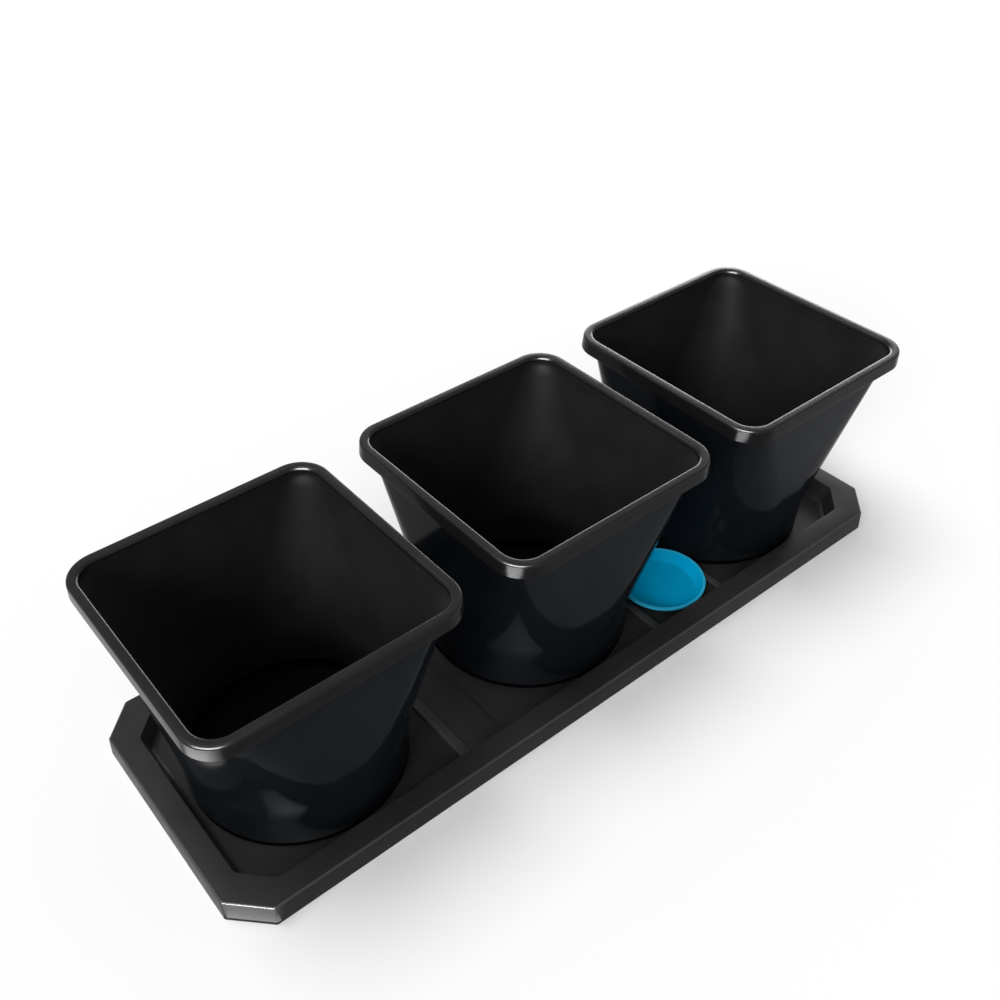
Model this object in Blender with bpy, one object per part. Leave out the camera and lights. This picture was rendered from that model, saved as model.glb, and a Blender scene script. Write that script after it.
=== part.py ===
"""Three-pot bottom-watering planter: a long tray, three pots and a float valve.

Units are metres, +Z is up, +X runs along the tray and -Y is its front.
The origin is on the ground, under the middle of the tray.
"""

import math

import bmesh
import bpy
from mathutils import Matrix, Vector

MM = 0.001
GAP = 0.3 * MM

# Tray
TRAY_HALF_LENGTH = 503 * MM
TRAY_HALF_WIDTH = 167 * MM
TRAY_CORNER_CUT = 38 * MM
TRAY_HEIGHT = 26.8 * MM
TRAY_WALL = 2.5 * MM
FLANGE_OUTER_INSET = 6 * MM
FLANGE_INNER_INSET = 29 * MM
BASIN_TOP_INSET = 30 * MM
BASIN_FOOT_INSET = 34.5 * MM
BASIN_FLOOR_INSET = 40.5 * MM
CORNER_CUT_SHRINK = 0.205
FLANGE_EDGE_DROP = 1 * MM
FLANGE_EDGE_RUN = 2.4 * MM
SKIRT_TOP_INSET = 2 * MM
SKIRT_TOP_DROP = 4.8 * MM
BASIN_LIP_DROP = 0.8 * MM
BASIN_FILLET_RUN = 3.5 * MM
BASIN_FILLET_RISE = 1.5 * MM
BASIN_FOOT_RISE = 5.5 * MM

# Floor ribs, as spans along X from the middle of the tray
CROSS_RIB_X = (-203 * MM, -187 * MM)
CROSS_RIB_HEIGHT = 4.5 * MM
PLATFORM_X = (-189 * MM, -140 * MM)
PLATFORM_HEIGHT = 2.5 * MM
SHORT_RIB_X = (105 * MM, 117 * MM)
SHORT_RIB_Y = (72 * MM, 129 * MM)
SHORT_RIB_HEIGHT = 4 * MM
RIB_SIDE_RUN = 1.5 * MM
RIB_HALF_LENGTH = 129 * MM
RIB_SINK = 1 * MM

# Pots
POT_PITCH = 336.5 * MM
POT_HEIGHT = 258 * MM
POT_RIM_HALF = 145.5 * MM
POT_RIM_RADIUS = 37 * MM
POT_RIM_BAND = 16 * MM
POT_RIM_INNER_HALF = 132.3 * MM
POT_RIM_INNER_RADIUS = 25 * MM
POT_RIM_INNER_DEPTH = 8 * MM
POT_RIM_EDGE = 1.5 * MM
POT_RIM_CROWN_RUN = 3 * MM
POT_RIM_CROWN_DROP = 3.5 * MM
POT_RIM_CROWN_BREAK = 0.8 * MM
POT_RIM_CHANNEL_FOOT = 3 * MM
POT_BODY_TOP_HALF = 135 * MM
POT_BODY_TOP_RADIUS = 43 * MM
POT_FOOT_RADIUS = 124.5 * MM
POT_ROUND_HEIGHT = 55 * MM
POT_WALL = 2.5 * MM
POT_FLOOR = 3 * MM
POT_FLOOR_LIFT = 3 * MM
POT_FOOT_WIDTH = 14 * MM
POT_FOOT_BEVEL_RUN = 2.4 * MM
POT_FOOT_BEVEL_BREAK = 0.8 * MM
POT_FOOT_DRAFT = 1 * MM
POT_FILLET = 3 * MM
POT_FLAT = 2 * MM
POT_CORNER_STEPS = 8
SLOT_COUNT = 8
SLOT_LENGTH = 46 * MM
SLOT_WIDTH = 7 * MM
SLOT_MIDDLE_RADIUS = 72 * MM
NOTCH_COUNT = 4
NOTCH_WIDTH = 14 * MM
NOTCH_HEIGHT = 2.2 * MM

# Root screens
SCREEN_RADIUS = 114 * MM
SCREEN_THICKNESS = 2 * MM
SCREEN_BEVEL = 0.4 * MM

# Float dish
DISH_X = 168 * MM
DISH_Y = -75.5 * MM
DISH_RADIUS = 56.5 * MM
DISH_LIP_Z = 17.8 * MM
DISH_LIP_WIDTH = 3.4 * MM
DISH_LIP_DROP = 2.2 * MM
DISH_FLOOR_RADIUS = 40 * MM
DISH_DEPTH = 12.4 * MM
DISH_WALL = 1.8 * MM
DISH_LIP_INNER_RISE = 1.2 * MM
DISH_LIP_INNER_RUN = 1 * MM
DISH_LIP_EDGE = 0.7 * MM
DISH_SIDE_STEPS = 4
LUG_HALF_WIDTH = 8 * MM
LUG_Y = (-29 * MM, -6 * MM)
LUG_Z = (9.6 * MM, 13.2 * MM)

# Rocker arm and its pivot
PIVOT_Y = 2 * MM
PIVOT_Z = 21 * MM
PIN_RADIUS = 1.5 * MM
PIN_HALF_LENGTH = 13 * MM
PIN_RUNNING_GAP = 0.15 * MM
ARM_HALF_WIDTH = 7.4 * MM
ARM_BEAM_Y = (-8 * MM, 23 * MM)
ARM_BEAM_Z = (19 * MM, 23 * MM)
ARM_FOOT_Y = (-18 * MM, -4 * MM)
ARM_FOOT_Z = (13.5 * MM, 17.5 * MM)
ARM_NECK_Y = (-8 * MM, -4 * MM)
SEAL_Y = 16 * MM
SEAL_RADIUS = 4 * MM
SEAL_Z = (17.5 * MM, 19.9 * MM)
FLOAT_SCREW_X = 4.5 * MM
FLOAT_SCREW_Y = -13 * MM
FLOAT_SCREW_RADIUS = 1.1 * MM
FLOAT_SCREW_HEAD = 2.1 * MM
FLOAT_SCREW_HEAD_HEIGHT = 1.6 * MM
FLOAT_SCREW_LENGTH = 6.6 * MM

# Valve body
BODY_HALF_WIDTH = 20 * MM
BODY_Y = (-8 * MM, 38 * MM)
BODY_PLATE = 2.5 * MM
CHEEK_X = (8 * MM, 12 * MM)
CHEEK_Y = (-4 * MM, 8 * MM)
CHEEK_TOP = 26 * MM
TOWER_HALF_WIDTH = 7 * MM
TOWER_Y = (9.5 * MM, 23 * MM)
TOWER_TOP = 12.7 * MM
BOSS_Y = (22 * MM, 42 * MM)
BOSS_TOP = 15 * MM
INLET_Z = 9.5 * MM
INLET_BORE = 3.5 * MM
INLET_BORE_END = 24 * MM
PASSAGE_RADIUS = 1.3 * MM
PASSAGE_Z = 9 * MM
NOZZLE_BORE = 2.75 * MM
NOZZLE_BORE_BOTTOM = 7.4 * MM
BODY_SCREW_X = 14 * MM
BODY_SCREW_Y = 30 * MM
TRAY_BOSS_RADIUS = 3.8 * MM
TRAY_BOSS_TOP = 5 * MM
TRAY_BOSS_HOLE = 1.8 * MM
TRAY_BOSS_HOLE_BOTTOM = 1.4 * MM
BODY_SCREW_RADIUS = 1.4 * MM
BODY_SCREW_HEAD = 5.4 * MM
BODY_SCREW_HEAD_HEIGHT = 2 * MM
BODY_SCREW_HEAD_SIDE = 0.8 * MM
BODY_SCREW_TIP = 1.9 * MM

# Nozzle, hose tail, strainer and cover
NOZZLE_TIP_Z = 15.5 * MM
NOZZLE_HOLE = 1 * MM
NOZZLE_TIP_RADIUS = 2 * MM
NOZZLE_CONE_RUN = 0.4 * MM
NOZZLE_FLANGE_RADIUS = 4.5 * MM
NOZZLE_FLANGE_HEIGHT = 1.2 * MM
NOZZLE_SPIGOT_RADIUS = 2.4 * MM
NOZZLE_SPIGOT_BOTTOM = 10.6 * MM
TAIL_BORE = 1.8 * MM
TAIL_SPIGOT_RADIUS = 3.1 * MM
TAIL_SPIGOT_START = 31 * MM
TAIL_FLANGE_RADIUS = 6 * MM
TAIL_FLANGE_Y = (44.4 * MM, 46.8 * MM)
TAIL_BARB_RADII = (3.4 * MM, 4.3 * MM)
TAIL_BARB_PITCH = 6 * MM
TAIL_BARB_COUNT = 3
TAIL_BARB_START = 2 * MM
TAIL_BARB_STEP = 0.4 * MM
TAIL_BARB_LAND = 1.5 * MM
O_RING_RADIUS = 4.7 * MM
O_RING_SECTION = 0.9 * MM
O_RING_STEPS = 8
STRAINER_RADIUS = 3.1 * MM
STRAINER_WALL = 0.7 * MM
STRAINER_Y = (24.6 * MM, 30.4 * MM)
COVER_WALL = 1.6 * MM
COVER_CLEARANCE = 0.5 * MM
COVER_INNER_TOP = 27.4 * MM
COVER_SIDE_RUN = 1.5 * MM
COVER_FRONT_NOTCH = (9.6 * MM, 24.5 * MM)
COVER_REAR_NOTCH = (7.6 * MM, 15.8 * MM)

ROUND_STEPS = 24
DISH_STEPS = 48
FINE_CUT = 0.5 * MM
OVERLAP = 1 * MM

GROUND = 0.0
FLOOR_TOP = TRAY_WALL
POT_BASE = FLOOR_TOP + GAP
BODY_BOTTOM = FLOOR_TOP + GAP
PLATE_TOP = BODY_BOTTOM + BODY_PLATE

BLACK_GLOSS = ((0.012, 0.012, 0.013), 0.22, 0.0)
BLACK_SATIN = ((0.022, 0.022, 0.024), 0.45, 0.0)
BLUE = ((0.0, 0.23, 0.40), 0.3, 0.0)
FELT = ((0.10, 0.07, 0.05), 0.95, 0.0)
GREY_ACETAL = ((0.16, 0.16, 0.17), 0.4, 0.0)
WHITE_ACETAL = ((0.65, 0.65, 0.62), 0.4, 0.0)
SILICONE = ((0.35, 0.10, 0.06), 0.6, 0.0)
RUBBER = ((0.015, 0.015, 0.015), 0.7, 0.0)
STEEL = ((0.55, 0.56, 0.58), 0.3, 1.0)


def clear_scene():
    """Removes what the startup file brings."""
    for obj in list(bpy.data.objects):
        bpy.data.objects.remove(obj, do_unlink=True)


def material(name, look):
    """A Principled material from a (colour, roughness, metallic) look."""
    colour, roughness, metallic = look
    made = bpy.data.materials.new(name)
    made.use_nodes = True
    shader = made.node_tree.nodes["Principled BSDF"]
    shader.inputs["Base Color"].default_value = (*colour, 1.0)
    shader.inputs["Roughness"].default_value = roughness
    shader.inputs["Metallic"].default_value = metallic
    return made


def add_object(name, shape, look=None, parent=None, angle=30):
    """Turns a bmesh into a named object; without a look it is a hidden cutter."""
    bmesh.ops.recalc_face_normals(shape, faces=shape.faces[:])
    mesh = bpy.data.meshes.new(name)
    shape.to_mesh(mesh)
    shape.free()
    obj = bpy.data.objects.new(name, mesh)
    bpy.context.scene.collection.objects.link(obj)
    if look is None:
        obj.hide_render = True
        obj.display_type = "WIRE"
    else:
        mesh.materials.append(material(name, look))
        mesh.shade_smooth()
        mesh.set_sharp_from_angle(angle=math.radians(angle))
    if parent is not None:
        obj.parent = parent
        obj.matrix_parent_inverse = Matrix.Translation(-parent.location)
    return obj


def add_empty(name, place):
    """An empty that marks a joint's axis."""
    empty = bpy.data.objects.new(name, None)
    empty.location = place
    bpy.context.scene.collection.objects.link(empty)
    return empty


def combine(target, shapes, operation):
    """Adds one Boolean modifier per helper shape."""
    for index, shape in enumerate(shapes):
        helper = add_object(f"{target.name}_{operation.lower()}_{index}", shape)
        modifier = target.modifiers.new(f"{operation.lower()}_{index}", "BOOLEAN")
        modifier.operation = operation
        modifier.object = helper


def loft(rings):
    """A closed shape through rings of equal point count, capped at both ends."""
    shape = bmesh.new()
    rows = [[shape.verts.new(point) for point in ring] for ring in rings]
    count = len(rows[0])
    for lower, upper in zip(rows, rows[1:]):
        for index in range(count):
            after = (index + 1) % count
            shape.faces.new((lower[index], lower[after], upper[after], upper[index]))
    shape.faces.new(rows[0])
    shape.faces.new(rows[-1])
    return shape


def box(x_span, y_span, z_span, top_run=0.0):
    """A box; top_run draws its top edges in along X."""
    low_x, high_x = x_span
    low_y, high_y = y_span
    low_z, high_z = z_span

    def ring(inset, height):
        return [
            Vector((low_x + inset, low_y, height)),
            Vector((high_x - inset, low_y, height)),
            Vector((high_x - inset, high_y, height)),
            Vector((low_x + inset, high_y, height)),
        ]

    return loft([ring(0.0, low_z), ring(top_run, high_z)])


def centred(middle, half):
    """The span of this half-width about a middle."""
    return (middle - half, middle + half)


def circle(radius, height, steps=ROUND_STEPS):
    """A level ring of points about the Z axis."""
    turns = [2 * math.pi * index / steps for index in range(steps)]
    return [Vector((radius * math.cos(a), radius * math.sin(a), height)) for a in turns]


def turned(profile, steps=ROUND_STEPS, hollow=False):
    """A solid turned about Z from (radius, height) points; hollow joins its ends."""
    rings = [circle(radius, height, steps) for radius, height in profile]
    if not hollow:
        return loft(rings)
    shape = bmesh.new()
    rows = [[shape.verts.new(point) for point in ring] for ring in rings]
    for row, following in zip(rows, rows[1:] + rows[:1]):
        for index in range(steps):
            after = (index + 1) % steps
            shape.faces.new((row[index], row[after], following[after], following[index]))
    return shape


def placed(shape, place, axis="Z"):
    """Lays a shape turned about Z along the given axis, then moves it."""
    if axis == "Y":
        turn = Matrix.Rotation(-math.pi / 2, 4, "X")
    elif axis == "X":
        turn = Matrix.Rotation(math.pi / 2, 4, "Y")
    else:
        turn = Matrix.Identity(4)
    shape.transform(Matrix.Translation(place) @ turn)
    return shape


def cylinder(radius, start, end, steps=ROUND_STEPS):
    """A plain cylinder about Z."""
    return turned([(radius, start), (radius, end)], steps)


def cut_corner_ring(inset, height):
    """The tray's eight-sided outline, drawn in from the hem by an inset."""
    half_length = TRAY_HALF_LENGTH - inset
    half_width = TRAY_HALF_WIDTH - inset
    cut = TRAY_CORNER_CUT - inset * CORNER_CUT_SHRINK
    corners = [
        (half_length, half_width - cut),
        (half_length - cut, half_width),
        (cut - half_length, half_width),
        (-half_length, half_width - cut),
        (-half_length, cut - half_width),
        (cut - half_length, -half_width),
        (half_length - cut, -half_width),
        (half_length, cut - half_width),
    ]
    return [Vector((x, y, height)) for x, y in corners]


def make_tray():
    """The tray: skirt, flange and basin as one shell, with ribs and screw bosses."""
    top = TRAY_HEIGHT
    wall = TRAY_WALL
    fillet_inset = BASIN_FLOOR_INSET - BASIN_FILLET_RUN
    rings = [
        cut_corner_ring(BASIN_FLOOR_INSET, FLOOR_TOP),
        cut_corner_ring(fillet_inset, FLOOR_TOP + BASIN_FILLET_RISE),
        cut_corner_ring(BASIN_FOOT_INSET, FLOOR_TOP + BASIN_FOOT_RISE),
        cut_corner_ring(BASIN_TOP_INSET, top - BASIN_LIP_DROP),
        cut_corner_ring(FLANGE_INNER_INSET, top),
        cut_corner_ring(FLANGE_OUTER_INSET, top),
        cut_corner_ring(FLANGE_OUTER_INSET - FLANGE_EDGE_RUN, top - FLANGE_EDGE_DROP),
        cut_corner_ring(SKIRT_TOP_INSET, top - SKIRT_TOP_DROP),
        cut_corner_ring(0.0, GROUND),
        cut_corner_ring(wall, GROUND),
        cut_corner_ring(SKIRT_TOP_INSET + wall, top - SKIRT_TOP_DROP),
        cut_corner_ring(FLANGE_OUTER_INSET, top - wall),
        cut_corner_ring(BASIN_TOP_INSET - wall, top - wall),
        cut_corner_ring(BASIN_FOOT_INSET - wall, BASIN_FOOT_RISE),
        cut_corner_ring(fillet_inset - wall, GROUND),
    ]
    tray = add_object("tray", loft(rings), BLACK_SATIN)
    rib_y = (-RIB_HALF_LENGTH, RIB_HALF_LENGTH)
    sunk = FLOOR_TOP - RIB_SINK
    additions = [
        box(PLATFORM_X, rib_y, (sunk, FLOOR_TOP + PLATFORM_HEIGHT), RIB_SIDE_RUN),
        box(CROSS_RIB_X, rib_y, (sunk, FLOOR_TOP + CROSS_RIB_HEIGHT), RIB_SIDE_RUN),
    ]
    short_top = FLOOR_TOP + SHORT_RIB_HEIGHT
    far_x = tuple(POT_PITCH - edge for edge in reversed(SHORT_RIB_X))
    far_y = tuple(-edge for edge in reversed(SHORT_RIB_Y))
    for x_span in (SHORT_RIB_X, far_x):
        for y_span in (SHORT_RIB_Y, far_y):
            additions.append(box(x_span, y_span, (sunk, short_top), RIB_SIDE_RUN))
    holes = []
    for side in (-1, 1):
        place = Vector((DISH_X + side * BODY_SCREW_X, BODY_SCREW_Y, 0.0))
        additions.append(placed(cylinder(TRAY_BOSS_RADIUS, sunk, TRAY_BOSS_TOP), place))
        hole = cylinder(TRAY_BOSS_HOLE, TRAY_BOSS_HOLE_BOTTOM, TRAY_BOSS_TOP + FINE_CUT)
        holes.append(placed(hole, place))
    combine(tray, additions, "UNION")
    combine(tray, holes, "DIFFERENCE")


def rounded_square(half, radius, height):
    """A level rounded square whose corners have equal steps at every size."""
    radius = min(radius, half - POT_FLAT)
    points = []
    for corner in range(4):
        start = corner * math.pi / 2
        middle_x = (half - radius) * (1 if corner in (0, 3) else -1)
        middle_y = (half - radius) * (1 if corner in (0, 1) else -1)
        for step in range(POT_CORNER_STEPS + 1):
            angle = start + step * math.pi / 2 / POT_CORNER_STEPS
            x = middle_x + radius * math.cos(angle)
            y = middle_y + radius * math.sin(angle)
            points.append(Vector((x, y, height)))
    return points


def body_ring(share, inset):
    """A ring of the pot's wall, from the round part (0) up to the rim (1)."""
    half = POT_FOOT_RADIUS + share * (POT_BODY_TOP_HALF - POT_FOOT_RADIUS) - inset
    radius = POT_FOOT_RADIUS + share * (POT_BODY_TOP_RADIUS - POT_FOOT_RADIUS) - inset
    rise = POT_HEIGHT - POT_RIM_BAND - POT_ROUND_HEIGHT
    return rounded_square(half, radius, POT_ROUND_HEIGHT + share * rise)


def pot_rings():
    """The pot from its inside floor, over the rim and down to its underside."""
    foot = POT_FOOT_RADIUS
    top = POT_HEIGHT
    floor_top = POT_FLOOR_LIFT + POT_FLOOR
    rim = POT_RIM_HALF
    lip = POT_RIM_INNER_HALF
    shares = (0.0, 0.25, 0.5, 0.75, 1.0)
    inside = [body_ring(share, POT_WALL) for share in shares]
    outside = [body_ring(share, 0.0) for share in reversed(shares)]
    hem = top - POT_RIM_BAND
    edge = POT_RIM_EDGE
    run = POT_RIM_CROWN_RUN
    nick = POT_RIM_CROWN_BREAK
    rim_inside = [
        rounded_square(lip, POT_RIM_INNER_RADIUS, top - POT_RIM_INNER_DEPTH),
        rounded_square(lip, POT_RIM_INNER_RADIUS, top - edge),
        rounded_square(lip + edge, POT_RIM_INNER_RADIUS + edge, top),
    ]
    rim_outside = [
        rounded_square(rim - run, POT_RIM_RADIUS - run, top),
        rounded_square(rim - nick, POT_RIM_RADIUS - nick, top - nick),
        rounded_square(rim, POT_RIM_RADIUS, top - POT_RIM_CROWN_DROP),
        rounded_square(rim, POT_RIM_RADIUS, hem),
    ]
    neck = lip + POT_WALL
    neck_radius = POT_RIM_INNER_RADIUS + POT_WALL
    rim_channel = [
        rounded_square(rim - POT_WALL, POT_RIM_RADIUS - POT_WALL, hem),
        rounded_square(rim - POT_WALL, POT_RIM_RADIUS - POT_WALL, top - POT_WALL),
        rounded_square(neck, neck_radius, top - POT_WALL),
        rounded_square(neck, neck_radius, hem + POT_RIM_CHANNEL_FOOT),
    ]
    return [
        rounded_square(foot - POT_WALL - POT_FILLET, foot, floor_top),
        rounded_square(foot - POT_WALL, foot, floor_top + POT_FILLET),
        *inside,
        *rim_inside,
        *rim_outside,
        *rim_channel,
        *outside,
        rounded_square(foot, foot, POT_FOOT_BEVEL_RUN),
        rounded_square(foot - POT_FOOT_BEVEL_BREAK, foot, POT_FOOT_BEVEL_BREAK),
        rounded_square(foot - POT_FOOT_BEVEL_RUN, foot, 0.0),
        rounded_square(foot - POT_FOOT_WIDTH, foot, 0.0),
        rounded_square(foot - POT_FOOT_WIDTH - POT_FOOT_DRAFT, foot, POT_FLOOR_LIFT),
    ]


def turned_about_z(shape, angle):
    """Turns a shape about the pot's own axis."""
    shape.transform(Matrix.Rotation(angle, 4, "Z"))
    return shape


def pot_cutters(place):
    """Drain slots through the floor and water notches under the foot."""
    cutters = []
    for index in range(SLOT_COUNT):
        reach = centred(SLOT_MIDDLE_RADIUS, SLOT_LENGTH / 2)
        slot_z = (POT_FLOOR_LIFT - OVERLAP, POT_FLOOR_LIFT + POT_FLOOR + OVERLAP)
        slot = box(reach, centred(0.0, SLOT_WIDTH / 2), slot_z)
        cutters.append(turned_about_z(slot, 2 * math.pi * index / SLOT_COUNT))
    for index in range(NOTCH_COUNT):
        span = centred(0.0, POT_FOOT_RADIUS + OVERLAP)
        notch = box(span, centred(0.0, NOTCH_WIDTH / 2), (-OVERLAP, NOTCH_HEIGHT))
        cutters.append(turned_about_z(notch, math.pi * (index + 0.5) / NOTCH_COUNT))
    return [placed(cutter, place) for cutter in cutters]


def make_pots():
    """Three pots in a row, each with a loose fabric disc on its floor."""
    for index in range(3):
        place = Vector(((index - 1) * POT_PITCH, 0.0, POT_BASE))
        lift = add_empty(f"pot_{index + 1}_lift", place)
        pot = add_object(f"pot_{index + 1}", placed(loft(pot_rings()), place), BLACK_GLOSS, lift)
        combine(pot, pot_cutters(place), "DIFFERENCE")
        screen_bottom = POT_FLOOR_LIFT + POT_FLOOR + GAP
        bevel = SCREEN_BEVEL
        screen = turned(
            [
                (SCREEN_RADIUS - bevel, screen_bottom),
                (SCREEN_RADIUS, screen_bottom + bevel),
                (SCREEN_RADIUS, screen_bottom + SCREEN_THICKNESS - bevel),
                (SCREEN_RADIUS - bevel, screen_bottom + SCREEN_THICKNESS),
            ],
            DISH_STEPS,
        )
        add_object(f"root_screen_{index + 1}", placed(screen, place), FELT, lift)


def make_valve_body():
    """Base plate, pivot cheeks, nozzle tower and inlet boss in one moulding."""
    plate = box(centred(DISH_X, BODY_HALF_WIDTH), BODY_Y, (BODY_BOTTOM, PLATE_TOP))
    body = add_object("valve_body", plate, GREY_ACETAL)
    low = PLATE_TOP - OVERLAP
    tower_x = centred(DISH_X, TOWER_HALF_WIDTH)
    additions = [
        box(tower_x, TOWER_Y, (low, TOWER_TOP)),
        box(tower_x, BOSS_Y, (low, BOSS_TOP)),
    ]
    for side in (-1, 1):
        x_span = sorted(DISH_X + side * edge for edge in CHEEK_X)
        additions.append(box(x_span, CHEEK_Y, (low, CHEEK_TOP)))
    holes = []
    pin_hole = cylinder(PIN_RADIUS + GAP, -BODY_HALF_WIDTH, BODY_HALF_WIDTH)
    holes.append(placed(pin_hole, Vector((DISH_X, PIVOT_Y, PIVOT_Z)), "X"))
    bore = cylinder(INLET_BORE, INLET_BORE_END, BOSS_Y[1] + FINE_CUT)
    holes.append(placed(bore, Vector((DISH_X, 0.0, INLET_Z)), "Y"))
    passage = cylinder(PASSAGE_RADIUS, SEAL_Y, INLET_BORE_END + FINE_CUT)
    holes.append(placed(passage, Vector((DISH_X, 0.0, PASSAGE_Z)), "Y"))
    seat = cylinder(NOZZLE_BORE, NOZZLE_BORE_BOTTOM, TOWER_TOP + FINE_CUT)
    holes.append(placed(seat, Vector((DISH_X, SEAL_Y, 0.0))))
    for side in (-1, 1):
        place = Vector((DISH_X + side * BODY_SCREW_X, BODY_SCREW_Y, 0.0))
        clearance = cylinder(TRAY_BOSS_RADIUS + 2 * GAP, GROUND, PLATE_TOP + FINE_CUT)
        holes.append(placed(clearance, place))
    combine(body, additions, "UNION")
    combine(body, holes, "DIFFERENCE")


def make_valve_fittings():
    """Nozzle, hose tail, its ring, the strainer, the pivot pin and the body's screws."""
    flange_low = TOWER_TOP + GAP
    flange_high = flange_low + NOZZLE_FLANGE_HEIGHT
    nozzle = turned(
        [
            (NOZZLE_HOLE, NOZZLE_TIP_Z),
            (NOZZLE_TIP_RADIUS, NOZZLE_TIP_Z),
            (NOZZLE_TIP_RADIUS + NOZZLE_CONE_RUN, flange_high),
            (NOZZLE_FLANGE_RADIUS, flange_high),
            (NOZZLE_FLANGE_RADIUS, flange_low),
            (NOZZLE_SPIGOT_RADIUS, flange_low),
            (NOZZLE_SPIGOT_RADIUS, NOZZLE_SPIGOT_BOTTOM),
            (NOZZLE_HOLE, NOZZLE_SPIGOT_BOTTOM),
        ],
        hollow=True,
    )
    add_object("nozzle", placed(nozzle, Vector((DISH_X, SEAL_Y, 0.0))), WHITE_ACETAL)

    inlet = Vector((DISH_X, 0.0, INLET_Z))
    flange_start, flange_end = TAIL_FLANGE_Y
    root_radius, crest_radius = TAIL_BARB_RADII
    profile = [
        (TAIL_BORE, TAIL_SPIGOT_START),
        (TAIL_SPIGOT_RADIUS, TAIL_SPIGOT_START),
        (TAIL_SPIGOT_RADIUS, flange_start),
        (TAIL_FLANGE_RADIUS, flange_start),
        (TAIL_FLANGE_RADIUS, flange_end),
        (root_radius, flange_end),
    ]
    for index in range(TAIL_BARB_COUNT):
        start = flange_end + TAIL_BARB_START + index * TAIL_BARB_PITCH
        profile.append((root_radius, start))
        profile.append((crest_radius, start + TAIL_BARB_STEP))
        profile.append((root_radius, start + TAIL_BARB_PITCH - TAIL_BARB_LAND))
    profile.append((TAIL_BORE, profile[-1][1]))
    add_object("hose_tail", placed(turned(profile, hollow=True), inlet, "Y"), GREY_ACETAL)

    ring_y = (BOSS_Y[1] + flange_start) / 2
    section = []
    for index in range(O_RING_STEPS):
        angle = 2 * math.pi * index / O_RING_STEPS
        radius = O_RING_RADIUS + O_RING_SECTION * math.cos(angle)
        section.append((radius, ring_y + O_RING_SECTION * math.sin(angle)))
    ring = turned(section, hollow=True)
    add_object("hose_tail_o_ring", placed(ring, inlet, "Y"), RUBBER)

    shut, mouth = STRAINER_Y
    hollow_radius = STRAINER_RADIUS - STRAINER_WALL
    cup = turned(
        [
            (hollow_radius, shut + STRAINER_WALL),
            (hollow_radius, mouth),
            (STRAINER_RADIUS, mouth),
            (STRAINER_RADIUS, shut),
        ]
    )
    add_object("inlet_strainer", placed(cup, inlet, "Y"), WHITE_ACETAL)

    pin = cylinder(PIN_RADIUS, -PIN_HALF_LENGTH, PIN_HALF_LENGTH)
    add_object("pivot_pin", placed(pin, Vector((DISH_X, PIVOT_Y, PIVOT_Z)), "X"), STEEL)

    head_low = PLATE_TOP + GAP
    for index, side in enumerate((-1, 1)):
        screw = turned(
            [
                (BODY_SCREW_RADIUS, BODY_SCREW_TIP),
                (BODY_SCREW_RADIUS, head_low),
                (BODY_SCREW_HEAD, head_low),
                (BODY_SCREW_HEAD, head_low + BODY_SCREW_HEAD_SIDE),
                (BODY_SCREW_HEAD / 2, head_low + BODY_SCREW_HEAD_HEIGHT),
            ]
        )
        place = Vector((DISH_X + side * BODY_SCREW_X, BODY_SCREW_Y, 0.0))
        add_object(f"valve_screw_{index + 1}", placed(screw, place), STEEL)


def make_valve_cover():
    """The cap over the valve, open below, with notches for the arm and the inlet."""
    reach = COVER_CLEARANCE + COVER_WALL
    low_y = BODY_Y[0] - reach
    high_y = BODY_Y[1] + reach
    outer_x = centred(DISH_X, BODY_HALF_WIDTH + reach)
    outer_top = COVER_INNER_TOP + COVER_WALL
    lift = add_empty("valve_cover_lift", Vector((DISH_X, (low_y + high_y) / 2, BODY_BOTTOM)))
    block = box(outer_x, (low_y, high_y), (BODY_BOTTOM, outer_top), COVER_SIDE_RUN)
    cover = add_object("valve_cover", block, BLACK_SATIN, lift)
    inner_x = centred(DISH_X, BODY_HALF_WIDTH + COVER_CLEARANCE)
    inner_y = (BODY_Y[0] - COVER_CLEARANCE, BODY_Y[1] + COVER_CLEARANCE)
    front_half, front_top = COVER_FRONT_NOTCH
    rear_half, rear_top = COVER_REAR_NOTCH
    front_y = (low_y - OVERLAP, CHEEK_Y[0])
    rear_y = (BODY_SCREW_Y, high_y + OVERLAP)
    hollows = [
        box(inner_x, inner_y, (GROUND, COVER_INNER_TOP), COVER_SIDE_RUN),
        box(centred(DISH_X, front_half), front_y, (GROUND, front_top)),
        box(centred(DISH_X, rear_half), rear_y, (GROUND, rear_top)),
    ]
    combine(cover, hollows, "DIFFERENCE")


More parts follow.
